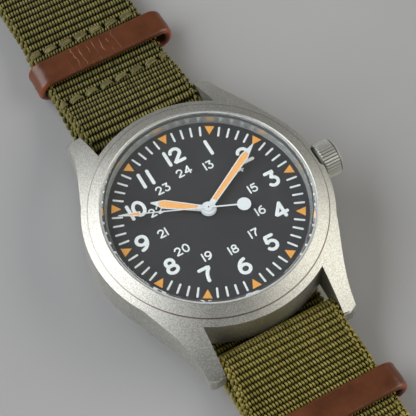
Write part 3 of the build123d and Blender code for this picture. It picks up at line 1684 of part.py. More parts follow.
for built, label in (
    (mid_case, "mid_case"),
    (bezel, "bezel"),
    (crystal, "crystal"),
    (crystal_gasket, "crystal_gasket"),
    (dial_flange, "dial_flange"),
    (dial, "dial"),
    (hour_wedges, "hour_wedges"),
    (case_back, "case_back"),
    (back_gasket, "back_gasket"),
    (movement_ring, "movement_ring"),
    (crown_tube, "crown_tube"),
    (crown, "crown"),
    (crown_gasket, "crown_gasket"),
    (winding_stem, "winding_stem"),
    (sliding_pinion, "sliding_pinion"),
    (winding_pinion, "winding_pinion"),
    (setting_lever, "setting_lever"),
    (yoke, "yoke"),
    (main_plate, "main_plate"),
    (centre_tube, "centre_tube"),
    (barrel_drum, "barrel_drum"),
    (barrel_cover, "barrel_cover"),
    (barrel_arbor, "barrel_arbor"),
    (mainspring, "mainspring"),
    (fourth_wheel, "fourth_wheel"),
    (escape_wheel, "escape_wheel"),
    (pallet_fork, "pallet_fork"),
    (balance_wheel, "balance_wheel"),
    (hairspring, "hairspring"),
    (cocks, "cocks"),
    (barrel_bridge, "barrel_bridge"),
    (train_bridge, "train_bridge"),
    (bridge_screws, "bridge_screws"),
    (ratchet_wheel, "ratchet_wheel"),
    (crown_wheel, "crown_wheel"),
    (click, "click"),
    (cannon_pinion, "cannon_pinion"),
    (minute_wheel, "minute_wheel"),
    (hour_wheel, "hour_wheel"),
    (setting_wheel, "setting_wheel"),
    (hour_hand, "hour_hand"),
    (hour_lume, "hour_lume"),
    (minute_hand, "minute_hand"),
    (minute_lume, "minute_lume"),
    (seconds_hand, "seconds_hand"),
    (seconds_lume, "seconds_lume"),
    (spring_bars, "spring_bars"),
    (bar_springs, "bar_springs"),
    (main_strap, "main_strap"),
    (under_strip, "under_strip"),
    (buckle_frame, "buckle_frame"),
    (buckle_tongue, "buckle_tongue"),
):
    save(built, label)
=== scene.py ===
import math
import random

import bpy
import numpy as np
from mathutils import Matrix, Vector


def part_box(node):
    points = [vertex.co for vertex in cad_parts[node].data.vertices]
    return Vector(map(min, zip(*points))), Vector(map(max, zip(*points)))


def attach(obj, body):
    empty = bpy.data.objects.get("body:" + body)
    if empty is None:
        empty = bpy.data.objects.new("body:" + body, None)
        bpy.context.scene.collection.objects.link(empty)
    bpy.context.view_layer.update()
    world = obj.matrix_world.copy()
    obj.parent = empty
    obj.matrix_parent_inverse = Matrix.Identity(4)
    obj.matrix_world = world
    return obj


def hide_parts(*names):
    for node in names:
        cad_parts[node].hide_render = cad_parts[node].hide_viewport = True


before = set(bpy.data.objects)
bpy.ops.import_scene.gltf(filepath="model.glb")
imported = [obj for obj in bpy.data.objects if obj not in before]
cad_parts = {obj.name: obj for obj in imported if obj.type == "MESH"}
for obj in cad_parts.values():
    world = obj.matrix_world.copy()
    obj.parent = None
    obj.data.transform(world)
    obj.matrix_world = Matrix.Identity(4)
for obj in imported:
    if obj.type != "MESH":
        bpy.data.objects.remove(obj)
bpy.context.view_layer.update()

MM = 0.001
rng = random.Random(7)
scene = bpy.context.scene


# Mesh making. All lengths in the functions below are millimetres, turned to metres here.
def mesh_object(name, verts, faces, attributes=None):
    """A smooth object from an array of points and an array of quads, which may have two corners alike."""
    verts = np.asarray(verts, np.float64) * MM
    faces = np.asarray(faces, np.int32)
    mesh = bpy.data.meshes.new(name)
    mesh.vertices.add(len(verts))
    mesh.vertices.foreach_set("co", verts.astype(np.float32).ravel())
    mesh.loops.add(faces.size)
    mesh.loops.foreach_set("vertex_index", faces.ravel())
    mesh.polygons.add(len(faces))
    mesh.polygons.foreach_set("loop_start", np.arange(0, faces.size, 4, dtype=np.int32))
    mesh.polygons.foreach_set("loop_total", np.full(len(faces), 4, np.int32))
    mesh.polygons.foreach_set("use_smooth", np.full(len(faces), True))
    for key, values in (attributes or {}).items():
        made = mesh.attributes.new(key, "FLOAT", "POINT")
        made.data.foreach_set("value", np.asarray(values, np.float32))
    mesh.update(calc_edges=True)
    mesh.validate()
    obj = bpy.data.objects.new(name, mesh)
    scene.collection.objects.link(obj)
    return obj


class Batch:
    """Gathers many small quad meshes into one object."""

    def __init__(self):
        self.verts, self.faces, self.values, self.count = [], [], {}, 0

    def add(self, verts, faces, **values):
        verts = np.asarray(verts, float)
        self.verts.append(verts)
        self.faces.append(np.asarray(faces) + self.count)
        for key, value in values.items():
            self.values.setdefault(key, []).append(np.broadcast_to(value, (len(verts),)))
        self.count += len(verts)

    def make(self, name):
        values = {k: np.concatenate(v) for k, v in self.values.items()}
        return mesh_object(name, np.concatenate(self.verts), np.concatenate(self.faces), values)


def corners(rows, cols, rows_close=False, cols_close=False):
    """The numbers of the four corners of every quad in a grid of points: here, a column on, a column and
    a row on, and a row on."""
    at = np.arange(rows * cols).reshape(rows, cols)
    if rows_close:
        at = np.vstack([at, at[:1]])
    if cols_close:
        at = np.hstack([at, at[:, :1]])
    return at[:-1, :-1], at[:-1, 1:], at[1:, 1:], at[1:, :-1]


def quads(*numbers):
    """Quads from the numbers of their corners, in the order given."""
    return np.stack(numbers, -1).reshape(-1, 4)


def unit(vectors):
    return vectors / np.linalg.norm(vectors, axis=-1, keepdims=True)


def headings(points, closed):
    """The direction of a path at each of its points."""
    if closed:
        return unit(np.roll(points, -1, 0) - np.roll(points, 1, 0))
    return unit(np.gradient(points, axis=0))


def across_frame(middle, up, x, thick):
    """Points at x across, and thick off a middle line in the plane of Y and Z along its up directions."""
    return np.stack([x, middle[:, None, 0] + up[:, None, 0] * thick,
                     middle[:, None, 1] + up[:, None, 1] * thick], -1)


def frames_along(points, closed):
    """Ahead, a side and an up direction at each point of a path, turning as little as they can."""
    ahead = headings(points, closed)
    ref = np.array([0, 0, 1.0]) if abs(ahead[0, 2]) < 0.9 else np.array([1.0, 0, 0])
    sides = [unit(np.cross(ahead[0], ref))]
    for step in ahead[1:]:
        sides.append(unit(sides[-1] - step * np.dot(sides[-1], step)))
    sides = np.array(sides)
    return ahead, sides, np.cross(sides, ahead)


# The widths of the two rings at a rod's end, how far out they lie, and how far past them its tip lies
end_rings = (0.55, 0.85)
end_reach, end_tip = 0.9, 0.35


def tube(points, radius, around, closed=False):
    """A round rod along a path. Two smaller rings and a tip round off each end of an open one."""
    points = np.asarray(points, float)
    ahead, side, up = frames_along(points, closed)
    widths = np.full(len(points), radius, float)
    if not closed:
        first = [points[0] - ahead[0] * radius * math.cos(math.asin(e)) * end_reach for e in end_rings]
        last = [points[-1] + ahead[-1] * radius * math.cos(math.asin(e)) * end_reach
                for e in end_rings[::-1]]
        points = np.vstack([first, points, last])
        ends = [radius * e for e in end_rings]
        widths = np.concatenate([ends, widths, ends[::-1]])
        side, up = (np.vstack([v[:1], v[:1], v, v[-1:], v[-1:]]) for v in (side, up))
    angle = np.arange(around) * 2 * math.pi / around
    ring = np.cos(angle)[None, :, None] * side[:, None, :] + np.sin(angle)[None, :, None] * up[:, None, :]
    verts = (points[:, None, :] + ring * widths[:, None, None]).reshape(-1, 3)
    n = len(points)
    faces = quads(*corners(n, around, closed, True))
    if not closed:
        start, finish = len(verts), len(verts) + 1
        verts = np.vstack([verts, points[:1] - ahead[0] * radius * end_tip,
                           points[-1:] + ahead[-1] * radius * end_tip])
        cap = [[start, (k + 1) % around, k, start] for k in range(around)]
        base = (n - 1) * around
        cap += [[finish, base + k, base + (k + 1) % around, finish] for k in range(around)]
        faces = np.vstack([faces, cap])
    return verts, faces


# The strap's path, in the plane of Y and Z
ease_points, arc_points = 40, 24


def ease(y0, z0, y1, z1):
    """A level start and a level end with a smooth slope between them."""
    t = np.linspace(0, 1, ease_points)[1:]
    mid = (y0 + y1) / 2
    y = (1 - t) ** 3 * y0 + 3 * (1 - t) ** 2 * t * mid + 3 * (1 - t) * t * t * mid + t ** 3 * y1
    z = (1 - t) ** 3 * z0 + 3 * (1 - t) ** 2 * t * z0 + 3 * (1 - t) * t * t * z1 + t ** 3 * z1
    return list(zip(y, z))


def arc(cy, cz, radius, start, finish):
    return [(cy + radius * math.cos(math.radians(a)), cz + radius * math.sin(math.radians(a)))
            for a in np.linspace(start, finish, arc_points)[1:]]


# The pitch of the ribs on the two sides of the case, and how far from the middle they meet
rib_12, rib_6, rib_ease = 1.28, 0.95, 15.0
count_samples, search_samples = 8000, 6000


class Path:
    """A line in the plane of Y and Z, with the length along it and the ribs counted from its start."""

    def __init__(self, points):
        self.points = np.array(points, float)
        step = np.linalg.norm(np.diff(self.points, axis=0), axis=1)
        self.at = np.concatenate([[0], np.cumsum(step)])
        self.length = self.at[-1]
        self.ahead = unit(np.gradient(self.points, self.at, axis=0))
        # The weave is looser on the buckle's side of the case
        self.fine = np.linspace(0, self.length, count_samples)
        y = np.interp(self.fine, self.at, self.points[:, 0])
        pitch = np.interp(y, (-rib_ease, rib_ease), (rib_6, rib_12))
        self.counts = np.concatenate([[0], np.cumsum(np.diff(self.fine) / pitch[1:])])

    def ribs(self, s):
        """How many ribs lie before lengths s."""
        return np.interp(s, self.fine, self.counts)

    def rib_lengths(self, step):
        """The lengths at each rib, or at each share of one."""
        return np.interp(np.arange(0, self.counts[-1], step), self.counts, self.fine)

    def place(self, s):
        """Points and upward directions at lengths s."""
        s = np.asarray(s, float)
        p, a = (np.stack([np.interp(s, self.at, line[:, k]) for k in (0, 1)], -1)
                for line in (self.points, self.ahead))
        a = unit(a)
        return p, np.stack([a[..., 1], -a[..., 0]], -1)

    def nearest(self, y, low, high=None):
        """The length at which the path passes a place along Y, between two lengths."""
        s = np.linspace(low, self.length if high is None else high, search_samples)
        return float(s[np.argmin(np.abs(self.place(s)[0][:, 0] - y))])

    def lift(self, s, x, off):
        """Points at lengths s, x across and off the middle, on the side that faces up on the top run."""
        p, up = self.place(s)
        return np.stack([np.broadcast_to(x, np.shape(s)), p[..., 0] + up[..., 0] * off,
                         p[..., 1] + up[..., 1] * off], -1)


near_12 = float(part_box("keeper_12")[0].y) / MM
near_6 = float(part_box("keeper_6")[1].y) / MM
# Heights of the middle of a layer: at rest, on another layer, in a keeper, and on the layer in a keeper
rest_z, second_z, held_z, top_z = 0.65, 1.95, 1.85, 3.15
# The fold round the buckle's bar, and where its upper layer comes down on the lower one
fold_end, buckle_y, buckle_z, buckle_turn, landing = 58.0, 76.0, 2.15, 1.5, 60
# The turn over each spring bar, and the turn under the case beside it
bar_y, bar_z, bar_turn = 21.3, 4.6, 1.45
case_y, case_z, case_turn, drop = 18.55, 3.25, 1.3, 19.85
# The top of the turn over a bar, the ends of the under layer's flat run, and where that layer starts
over_bar, under_bar, under_start = 6.05, 22.5, 42.0
# The far side of the keeper at 6 o'clock, and where the tail comes down and ends
far_6, tail_start, tail_tip = -37.2, -52.0, -150.0

main_points = [(fold_end, rest_z), (buckle_y, rest_z)] + arc(buckle_y, buckle_z, buckle_turn, -90, 90)
main_points += ease(buckle_y, buckle_z + buckle_turn, landing, second_z) + [(fold_end, second_z)]
main_points += ease(fold_end, second_z, under_start, top_z) + [(near_12, top_z)]
main_points += ease(near_12, top_z, bar_y, over_bar) + arc(bar_y, bar_z, bar_turn, 90, 180)
main_points += [(drop, case_z)] + arc(case_y, case_z, case_turn, 0, -90) + [(-case_y, second_z)]
main_points += arc(-case_y, case_z, case_turn, 270, 180) + [(-drop, bar_z)]
main_points += arc(-bar_y, bar_z, bar_turn, 0, 90) + ease(-bar_y, over_bar, near_6, top_z)
main_points += [(far_6, top_z)] + ease(far_6, top_z, tail_start, rest_z) + [(tail_tip, rest_z)]
under_points = [(under_start, held_z), (near_12, held_z)] + ease(near_12, held_z, under_bar, rest_z)
under_points += [(-under_bar, rest_z)] + ease(-under_bar, rest_z, near_6, held_z) + [(far_6, held_z)]
main_path, under_path = Path(main_points), Path(under_points)

box_low, box_high = (np.array(v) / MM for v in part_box("main_strap"))
web_half = float(box_high[0])
tail_end = float(box_low[1])
tip_length = 9.0
tip_radius = (web_half ** 2 + tip_length ** 2) / (2 * tip_length)
slot_half, slot_low = 1.4, 73.0
# The holes, the radius that the yarns keep clear, and how far past them the web's points lie close
first_hole, hole_gap, hole_count = -64.0, 8, 9
hole_places = [first_hole - hole_gap * k for k in range(hole_count)]
hole_radius, hole_clear, hole_margin = 1.0, 1.12, 1.6


def smooth(t):
    """Eases from 0 to 1 as t does."""
    return t * t * (3 - 2 * t)


# The webbing lies wider and slid over from the lugs at 6 o'clock to the holes, and its painted light, a
# lighter and yellower shade, weakens along its tail
wide_start, wide_run, wide_end, wide_return, widening, slide = -23.8, 6.0, -58.0, 14.0, 0.055, 0.32
painted_light_end, painted_light_run, painted_light_loss = -38, 30, 0.6


def spread(y):
    """How much wider the webbing lies at a place along Y, and how far it has slid across."""
    y = np.asarray(y, float)
    t = (smooth(np.clip((wide_start - y) / wide_run, 0, 1))
         * smooth(np.clip((y - wide_end) / wide_return, 0, 1)))
    return 1 + widening * t, slide * t


def faded(y):
    """How much painted light, a lighter and yellower shade, the webbing takes at a place along Y: most beside
    the case at 6 o'clock.
    """
    y = np.asarray(y, float)
    return (np.clip((rib_ease - y) / (2 * rib_ease), 0, 1)
            * (1 - painted_light_loss * np.clip((painted_light_end - y) / painted_light_run, 0, 1)))


def tip_half(y):
    """Half the strap's width at a place along Y, which narrows over the rounded tip."""
    run = np.clip(tip_radius ** 2 - (y - tail_end - tip_radius) ** 2, 0, None)
    return np.where(y < tail_end + tip_length, np.minimum(np.sqrt(run), web_half), web_half)


# The ground web: how close its points lie, its half thickness between the ribs and what a rib adds, and how
# far its edge stays in, less what a rib takes back
web_step, web_fine, web_thin, web_swell, edge_in, edge_swell = 0.25, 0.125, 0.07, 0.14, 0.32, 0.1
centre_half = 1.5


def ground_web(name, path, has_tail):
    """A thin closed ribbon of the cross threads, ribbed and scalloped at its edges."""
    rows = path.rib_lengths(web_step)
    if has_tail:
        low = path.nearest(hole_places[0] + hole_margin, path.length / 2)
        high = path.nearest(hole_places[-1] - hole_margin, path.length / 2)
        rows = np.concatenate([rows[rows < low], np.arange(low, high, web_fine), rows[rows > high]])
    rows = np.append(rows, path.length)
    outer = np.linspace(centre_half, web_half, 6)[1:]
    across = (np.concatenate([-outer[::-1], np.linspace(-centre_half, centre_half, 21), outer]) if has_tail
              else np.linspace(-web_half, web_half, 13))
    p, up = path.place(rows)
    swell = 0.5 + 0.5 * np.cos(2 * math.pi * path.ribs(rows))
    reach = tip_half(p[:, 0]) if has_tail else np.full(len(rows), web_half)
    x = across[None, :] * ((reach - edge_in + edge_swell * swell) / web_half)[:, None]
    if has_tail:
        centre = np.abs(across) <= centre_half
        x[:, centre] = np.where(reach[:, None] > centre_half + 1, across[centre][None, :], x[:, centre])
    wider, slid = spread(p[:, 0])
    x = x * wider[:, None] + slid[:, None]
    taper = np.sqrt(np.clip(1.04 - (np.abs(across) / web_half) ** 8, 0.05, 1))
    thick = (web_thin + web_swell * swell)[:, None] * taper[None]
    nr, nc = x.shape
    middle_y = ((p[1:, 0] + p[:-1, 0]) / 2)[:, None]
    middle_x = (x[1:, 1:] + x[1:, :-1] + x[:-1, 1:] + x[:-1, :-1]) / 4
    keep = np.ones((nr - 1, nc - 1), bool)
    if has_tail:
        for y in hole_places:
            keep &= middle_x ** 2 + (middle_y - y) ** 2 >= hole_clear ** 2
        folded = (rows[1:] < path.length / 4)[:, None]
        keep &= ~(folded & (np.abs(middle_x) < slot_half) & (middle_y > slot_low))
    count = nr * nc
    a, b, c, d = corners(nr, nc)
    faces = [quads(a[keep], b[keep], c[keep], d[keep]), quads(d[keep], c[keep], b[keep], a[keep]) + count]
    padded = np.pad(keep, 1)
    for (down, over), u, v in (((0, 1), a, b), ((2, 1), c, d), ((1, 0), d, a), ((1, 2), b, c)):
        bare = keep & ~padded[down:down + nr - 1, over:over + nc - 1]
        faces.append(quads(v[bare], u[bare], u[bare] + count, v[bare] + count))
    verts = np.concatenate([across_frame(p, up, x, t).reshape(-1, 3) for t in (thick, -thick)])
    return mesh_object(name, verts, np.concatenate(faces))


# The warp: how far apart its yarns lie, how far each rises and falls, and its radius
yarn_gap, yarn_rise, yarn_radius = 0.245, 0.5, 0.17
yarn_steps, yarn_sides, yarn_wander = 0.25, 6, 0.03
lean_6, lean_12 = 0.04, -0.07
most_triangles = 190000


def warp(name, path, has_tail):
    """Yarns that pass over one rib and under the next, each out of step with its neighbour."""
    s = path.rib_lengths(yarn_steps)
    turn = math.pi * path.ribs(s)
    yarns = int((2 * web_half - 1.0) / yarn_gap)
    angle = np.arange(yarn_sides) * math.pi / 3 + math.pi / 6
    per_piece = most_triangles // (len(s) * 2 * yarn_sides)
    p, up = path.place(s)
    wider, slid = spread(p[:, 0])
    lean = np.interp(p[:, 0], (-rib_ease, rib_ease), (lean_6, lean_12))
    twist = (angle[None] * 3 / math.pi + s[:, None] * 2.2).ravel()
    # The share of painted light, a lighter and yellower shade, at each point
    fade = np.repeat(faded(p[:, 0]), yarn_sides)
    a, b, c, d = corners(len(s), yarn_sides, cols_close=True)
    pieces, batch = [], Batch()
    for k in range(yarns):
        x0 = (k - (yarns - 1) / 2) * yarn_gap
        phase = turn + k * math.pi
        wave = np.cos(phase)
        high = np.abs(wave)
        jitter = np.array([rng.uniform(-yarn_wander, yarn_wander) for _ in range(len(s) // 4 + 2)])
        wander = np.interp(np.arange(len(s)), np.arange(len(jitter)) * 4, jitter)
        xs = x0 * wider + slid + lean * np.sin(phase) + wander
        fatness = yarn_radius * (0.93 + 0.14 * high)
        cross_x = xs[:, None] + np.cos(angle)[None] * fatness[:, None]
        off = yarn_rise * np.sign(wave) * high ** 0.85
        verts = across_frame(p, up, cross_x, off[:, None] + np.sin(angle)[None] * yarn_radius)
        ok = np.ones(len(s), bool)
        if has_tail:
            for y in hole_places:
                ok &= (x0 ** 2 + (p[:, 0] - y) ** 2) > hole_clear ** 2
            ok &= ~((s < path.length / 4) & (abs(x0) < slot_half + 0.1) & (p[:, 0] > slot_low - 0.1))
            ok &= np.abs(x0) < tip_half(p[:, 0]) - 0.35
        kept = ok[1:] & ok[:-1]
        # How high the yarn stands off the middle, which sets its painted shade between the ribs
        batch.add(verts.reshape(-1, 3), quads(a[kept], b[kept], c[kept], d[kept]), twist=twist,
                  tone=rng.random(), shown=np.repeat(high, yarn_sides), faded=fade)
        if (k + 1) % per_piece == 0 or k == yarns - 1:
            pieces.append(batch.make(f"{name}_warp_{len(pieces) + 1}"))
            batch = Batch()
    return pieces


# Two rows of turns at each edge: how far in each lies, its radius, its lag in pitches and its reach outwards
selvage_rows = ((0.0, 0.3, 0.0, 0.2), (0.36, 0.28, 0.5, 0.08))
selvage_in, selvage_half, selvage_slant = 0.42, 0.378, 0.28


def selvages(name, path, has_tail):
    """The cross thread's turns round each edge of a strap."""
    loops = Batch()
    ribs = path.rib_lengths(1.0)
    turn = np.linspace(-1.15, 1.15, 7)
    for side in (-1, 1):
        for s0, pitch in zip(ribs, np.diff(ribs, append=path.length)):
            y0 = float(path.place(s0)[0][0])
            w = float(tip_half(y0)) if has_tail else web_half
            if w < web_half - 0.02:
                continue
            wider, slid = (float(v) for v in spread(y0))
            for inset, radius, lag, out in selvage_rows:
                xs = side * (w - selvage_in - inset + out * np.cos(turn)) * wider + slid
                ss = np.clip(s0 + lag * pitch + selvage_slant * np.sin(turn) * side, 0, path.length)
                line = path.lift(ss, xs, selvage_half * np.sin(turn))
                v, f = tube(line, radius * rng.uniform(0.9, 1.08), 7)
                # Each loop takes the painted light of its place
                loops.add(v, f, twist=rng.random() * 6, tone=rng.random(), shown=0.75,
                          faded=float(faded(y0)))
    return loops.make(f"{name}_selvages")


# Stitches: how many cross the strap, their pitch, length and slant, the strands in each and their radius
stitch_count, stitch_gap, stitch_long, stitch_skew = 8, 2.72, 1.98, 0.42
strand_count, strand_radius, dent_radius = 6, 0.1, 0.21
# The two rows of a seam: how far each is off the middle, and how it slopes across the strap
row_middles, row_tilts = (-0.05, 0.7), (0.023, -0.02)


def stitches(name, path, places, off, side):
    """Two rows of flat stitches across the strap, each a bundle of strands that dips in at both ends, and
    the pulled-in dents that the needle leaves between them."""
    batch, dents = Batch(), Batch()
    limit = web_half - 0.3
    t = np.linspace(0, 1, 9)
    bulge = np.sin(math.pi * t)
    rise = 0.72 * np.sin(math.pi * np.clip(t, 0.02, 0.98)) ** 0.3
    for place, middle, tilt in zip(places, row_middles, row_tilts):
        for k in range(stitch_count):
            x0 = middle + (k - (stitch_count - 1) / 2) * stitch_gap + rng.uniform(-0.08, 0.08)
            if abs(x0) > limit:
                continue
            skew = stitch_skew + rng.uniform(-0.1, 0.1)
            for strand in range(strand_count):
                share = strand - (strand_count - 1) / 2
                lane = share * (0.13 + 0.06 * bulge) + rng.uniform(-0.03, 0.03)
                ends = x0 + np.array((-0.5, 0.5)) * stitch_long + share * 0.05 + rng.uniform(-0.08, 0.08)
                ends = np.clip(ends, -limit, limit)
                xs = ends[0] + (ends[1] - ends[0]) * t
                ss = place - tilt * xs + lane - (t - 0.5) * skew * side
                offs = side * (off - 0.5 + rise + rng.uniform(-0.04, 0.04))
                v, f = tube(path.lift(ss, xs, offs), strand_radius, 6)
                batch.add(v, f, twist=rng.random() * 6, tone=rng.random())
            dent = x0 - stitch_gap / 2
            if abs(dent) < limit - 0.3:
                ss = place - tilt * dent + np.linspace(-0.42, 0.42, 5)
                v, f = tube(path.lift(ss, np.full(5, dent), side * (off - 0.12)), dent_radius, 7)
                dents.add(v, f)
    return batch.make(name), dents.make(name + "_dents")


# Materials. Distances in the shaders are metres.
def srgb(r, g, b):
    def lin(c):
        c /= 255
        return c / 12.92 if c <= 0.04045 else ((c + 0.055) / 1.055) ** 2.4
    return (lin(r), lin(g), lin(b), 1.0)


class Mat:
    """A material and short ways to add its nodes."""

    def __init__(self, name):
        self.m = bpy.data.materials.new(name)
        self.m.use_nodes = True
        self.t = self.m.node_tree
        self.bsdf = self.t.nodes["Principled BSDF"]
        self.out = self.t.nodes["Material Output"]
        self.coord = self.new("ShaderNodeTexCoord").outputs["Object"]

    def new(self, kind, **inputs):
        node = self.t.nodes.new(kind)
        for key, value in inputs.items():
            self.put(node.inputs[key.replace("_", " ")], value)
        return node

    def put(self, socket, value):
        if isinstance(value, bpy.types.NodeSocket):
            self.t.links.new(value, socket)
        else:
            socket.default_value = value

    def set(self, **inputs):
        for key, value in inputs.items():
            self.put(self.bsdf.inputs[key.replace("_", " ")], value)

    def noise(self, scale, detail=3.0, rough=0.55, vector=None, output="Fac"):
        node = self.new("ShaderNodeTexNoise", Scale=scale, Detail=detail, Roughness=rough,
                        Vector=vector or self.coord)
        return node.outputs[output]

    def bands(self, scale, vector):
        return self.new("ShaderNodeTexWave", Scale=scale, Distortion=0.0, Vector=vector).outputs["Fac"]

    def axes(self):
        node = self.new("ShaderNodeSeparateXYZ")
        self.put(node.inputs[0], self.coord)
        return (node.outputs[k] for k in "XYZ")

    def stretch(self, x, y, z, vector=None, turn=(0, 0, 0)):
        node = self.new("ShaderNodeMapping", Vector=vector or self.coord, Scale=(x, y, z), Rotation=turn)
        return node.outputs["Vector"]

    def ramp(self, value, *stops):
        """A colour ramp over a value, from places and colours of 0 to 255."""
        node = self.new("ShaderNodeValToRGB", Fac=value)
        ramp = node.color_ramp
        while len(ramp.elements) < len(stops):
            ramp.elements.new(0.5)
        for element, (at, colour) in zip(ramp.elements, stops):
            element.position = at
            element.color = srgb(*colour)
        return node.outputs["Color"]

    def range(self, value, low, high, new_low, new_high):
        node = self.new("ShaderNodeMapRange")
        for k, v in enumerate((value, low, high, new_low, new_high)):
            self.put(node.inputs[k], v)
        return node.outputs["Result"]

    def math(self, kind, a, b=0.0, c=0.0):
        node = self.new("ShaderNodeMath")
        node.operation = kind
        for k, v in enumerate((a, b, c)):
            self.put(node.inputs[k], v)
        return node.outputs[0]

    def times(self, a, b):
        return self.math("MULTIPLY", a, b)

    def length(self, a, b):
        """The distance from an axis, from two coordinates across it."""
        return self.math("SQRT", self.math("ADD", self.times(a, a), self.times(b, b)))

    def mix(self, share, a, b):
        """Lays colour b over a, by a share."""
        node = self.new("ShaderNodeMix")
        node.data_type = "RGBA"
        for k, v in (("Factor", share), (6, a), (7, b)):
            self.put(node.inputs[k], v)
        return node.outputs[2]

    def overlay(self, share, colour):
        """Lays a colour over the present base colour, by a share."""
        socket = self.bsdf.inputs["Base Color"]
        self.put(socket, self.mix(share, socket.links[0].from_socket, srgb(*colour)))

    def attribute(self, name):
        node = self.new("ShaderNodeAttribute")
        node.attribute_name = name
        return node.outputs["Fac"]

    def filaments(self):
        """Waves round a yarn, which run along it as its twist does."""
        return self.math("SINE", self.times(self.attribute("twist"), 2 * math.pi))

    def bump(self, height, strength, distance):
        node = self.new("ShaderNodeBump", Strength=strength, Distance=distance, Height=height)
        self.put(self.bsdf.inputs["Normal"], node.outputs["Normal"])


# Depths of relief in the shaders
finest, turned, fine, coarse = 0.00001, 0.00002, 0.00003, 0.00005


def metal(name, dark, light, rough, grain_scale, grain, along=None, rough_swing=0.06, contrast=0.2):
    """A metal with fine grain, slow patches and faint wear in its roughness."""
    m = Mat(name)
    grains = m.noise(grain_scale, 4, 0.6, m.stretch(*along) if along else None)
    slow = m.noise(140, 3, 0.5)
    tone = m.math("MULTIPLY_ADD", grains, 0.85, m.times(slow, 0.15))
    m.set(Base_Color=m.ramp(tone, (0.5 - contrast, dark), (0.5 + contrast, light)), Metallic=1.0,
          Roughness=m.range(m.math("MULTIPLY_ADD", slow, 0.5, m.times(grains, 0.5)), 0.3, 0.7,
                            rough - rough_swing, rough + rough_swing))
    if grain:
        m.bump(grains, grain, fine)
    return m


def enamel(name, dark, light, edge, rough, grain_scale, detail, grain_rough, bump):
    """Paint or print with a fine grain in its colour, gloss and surface."""
    m = Mat(name)
    grain = m.noise(grain_scale, detail, grain_rough)
    m.set(Base_Color=m.ramp(grain, (edge, dark), (1 - edge, light)),
          Roughness=m.range(grain, 0.3, 0.7, *rough))
    m.bump(grain, bump, finest)
    return m


# The joint between bezel and case: its radius and lowest height, where its line is full and gone to either
# side, over what height it starts, and where along Y it is strong and faint
joint_radius, joint_low = 18.0 * MM, 9.9 * MM
joint_full, joint_gone, joint_rise, joint_strong, joint_faint = 0.00004, 0.00012, 0.00005, -0.012, -0.002
stem_height = (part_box("crown")[0].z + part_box("crown")[1].z) / 2
# The crown's flutes: from their floor to their top, and where they begin along X
flute_floor, flute_top, flute_start, flute_full = 0.00268, 0.0028, 0.0219, 0.022
# The creases: the middle of their patch along X, and how far from it they are full and gone
crease_middle, crease_full, crease_gone = -0.0006, 0.0032, 0.0048


def leather(creased):
    """Leather with fine pores and worn, warmer cut edges, and pale creases in its middle if creased."""
    m = Mat("leather_creased" if creased else "leather_plain")
    pores = m.new("ShaderNodeTexVoronoi", Scale=5200, Vector=m.coord).outputs["Distance"]
    slow = m.noise(260, 4, 0.6)
    body = m.ramp(slow, (0.3, (84, 43, 20)), (0.7, (108, 58, 27)))
    if creased:
        bent = m.new("ShaderNodeVectorMath")
        bent.operation = "MULTIPLY_ADD"
        for k, v in enumerate((m.noise(520, 3, 0.5, output="Color"), (0.0014, 0.0006, 0.0), m.coord)):
            m.put(bent.inputs[k], v)
        line = m.range(m.bands(260.0, m.stretch(1, 0.16, 0.0, bent.outputs[0])), 0.972, 1.0, 0.0, 1.0)
        x, y, z = m.axes()
        inside = m.range(m.math("ABSOLUTE", m.math("SUBTRACT", x, crease_middle)), crease_full, crease_gone,
                         1.0, 0.0)
        patch = m.range(m.noise(420, 2, 0.5), 0.46, 0.58, 0.0, 0.85)
        body = m.mix(m.times(m.times(line, inside), patch), body, srgb(190, 138, 112))
    worn = m.times(m.attribute("rim"), m.range(m.noise(700, 3, 0.6), 0.3, 0.6, 0.3, 0.8))
    bare = m.times(m.attribute("corner"), m.range(m.noise(900, 3, 0.6), 0.35, 0.6, 0.3, 1.0))
    m.set(Base_Color=m.mix(bare, m.mix(worn, body, srgb(104, 54, 30)), srgb(178, 84, 40)),
          Roughness=m.range(slow, 0.3, 0.7, 0.29, 0.39), Specular_IOR_Level=0.6)
    m.bump(m.math("MULTIPLY_ADD", pores, 0.35, m.noise(2400, 4, 0.6)), 0.35, fine)
    return m


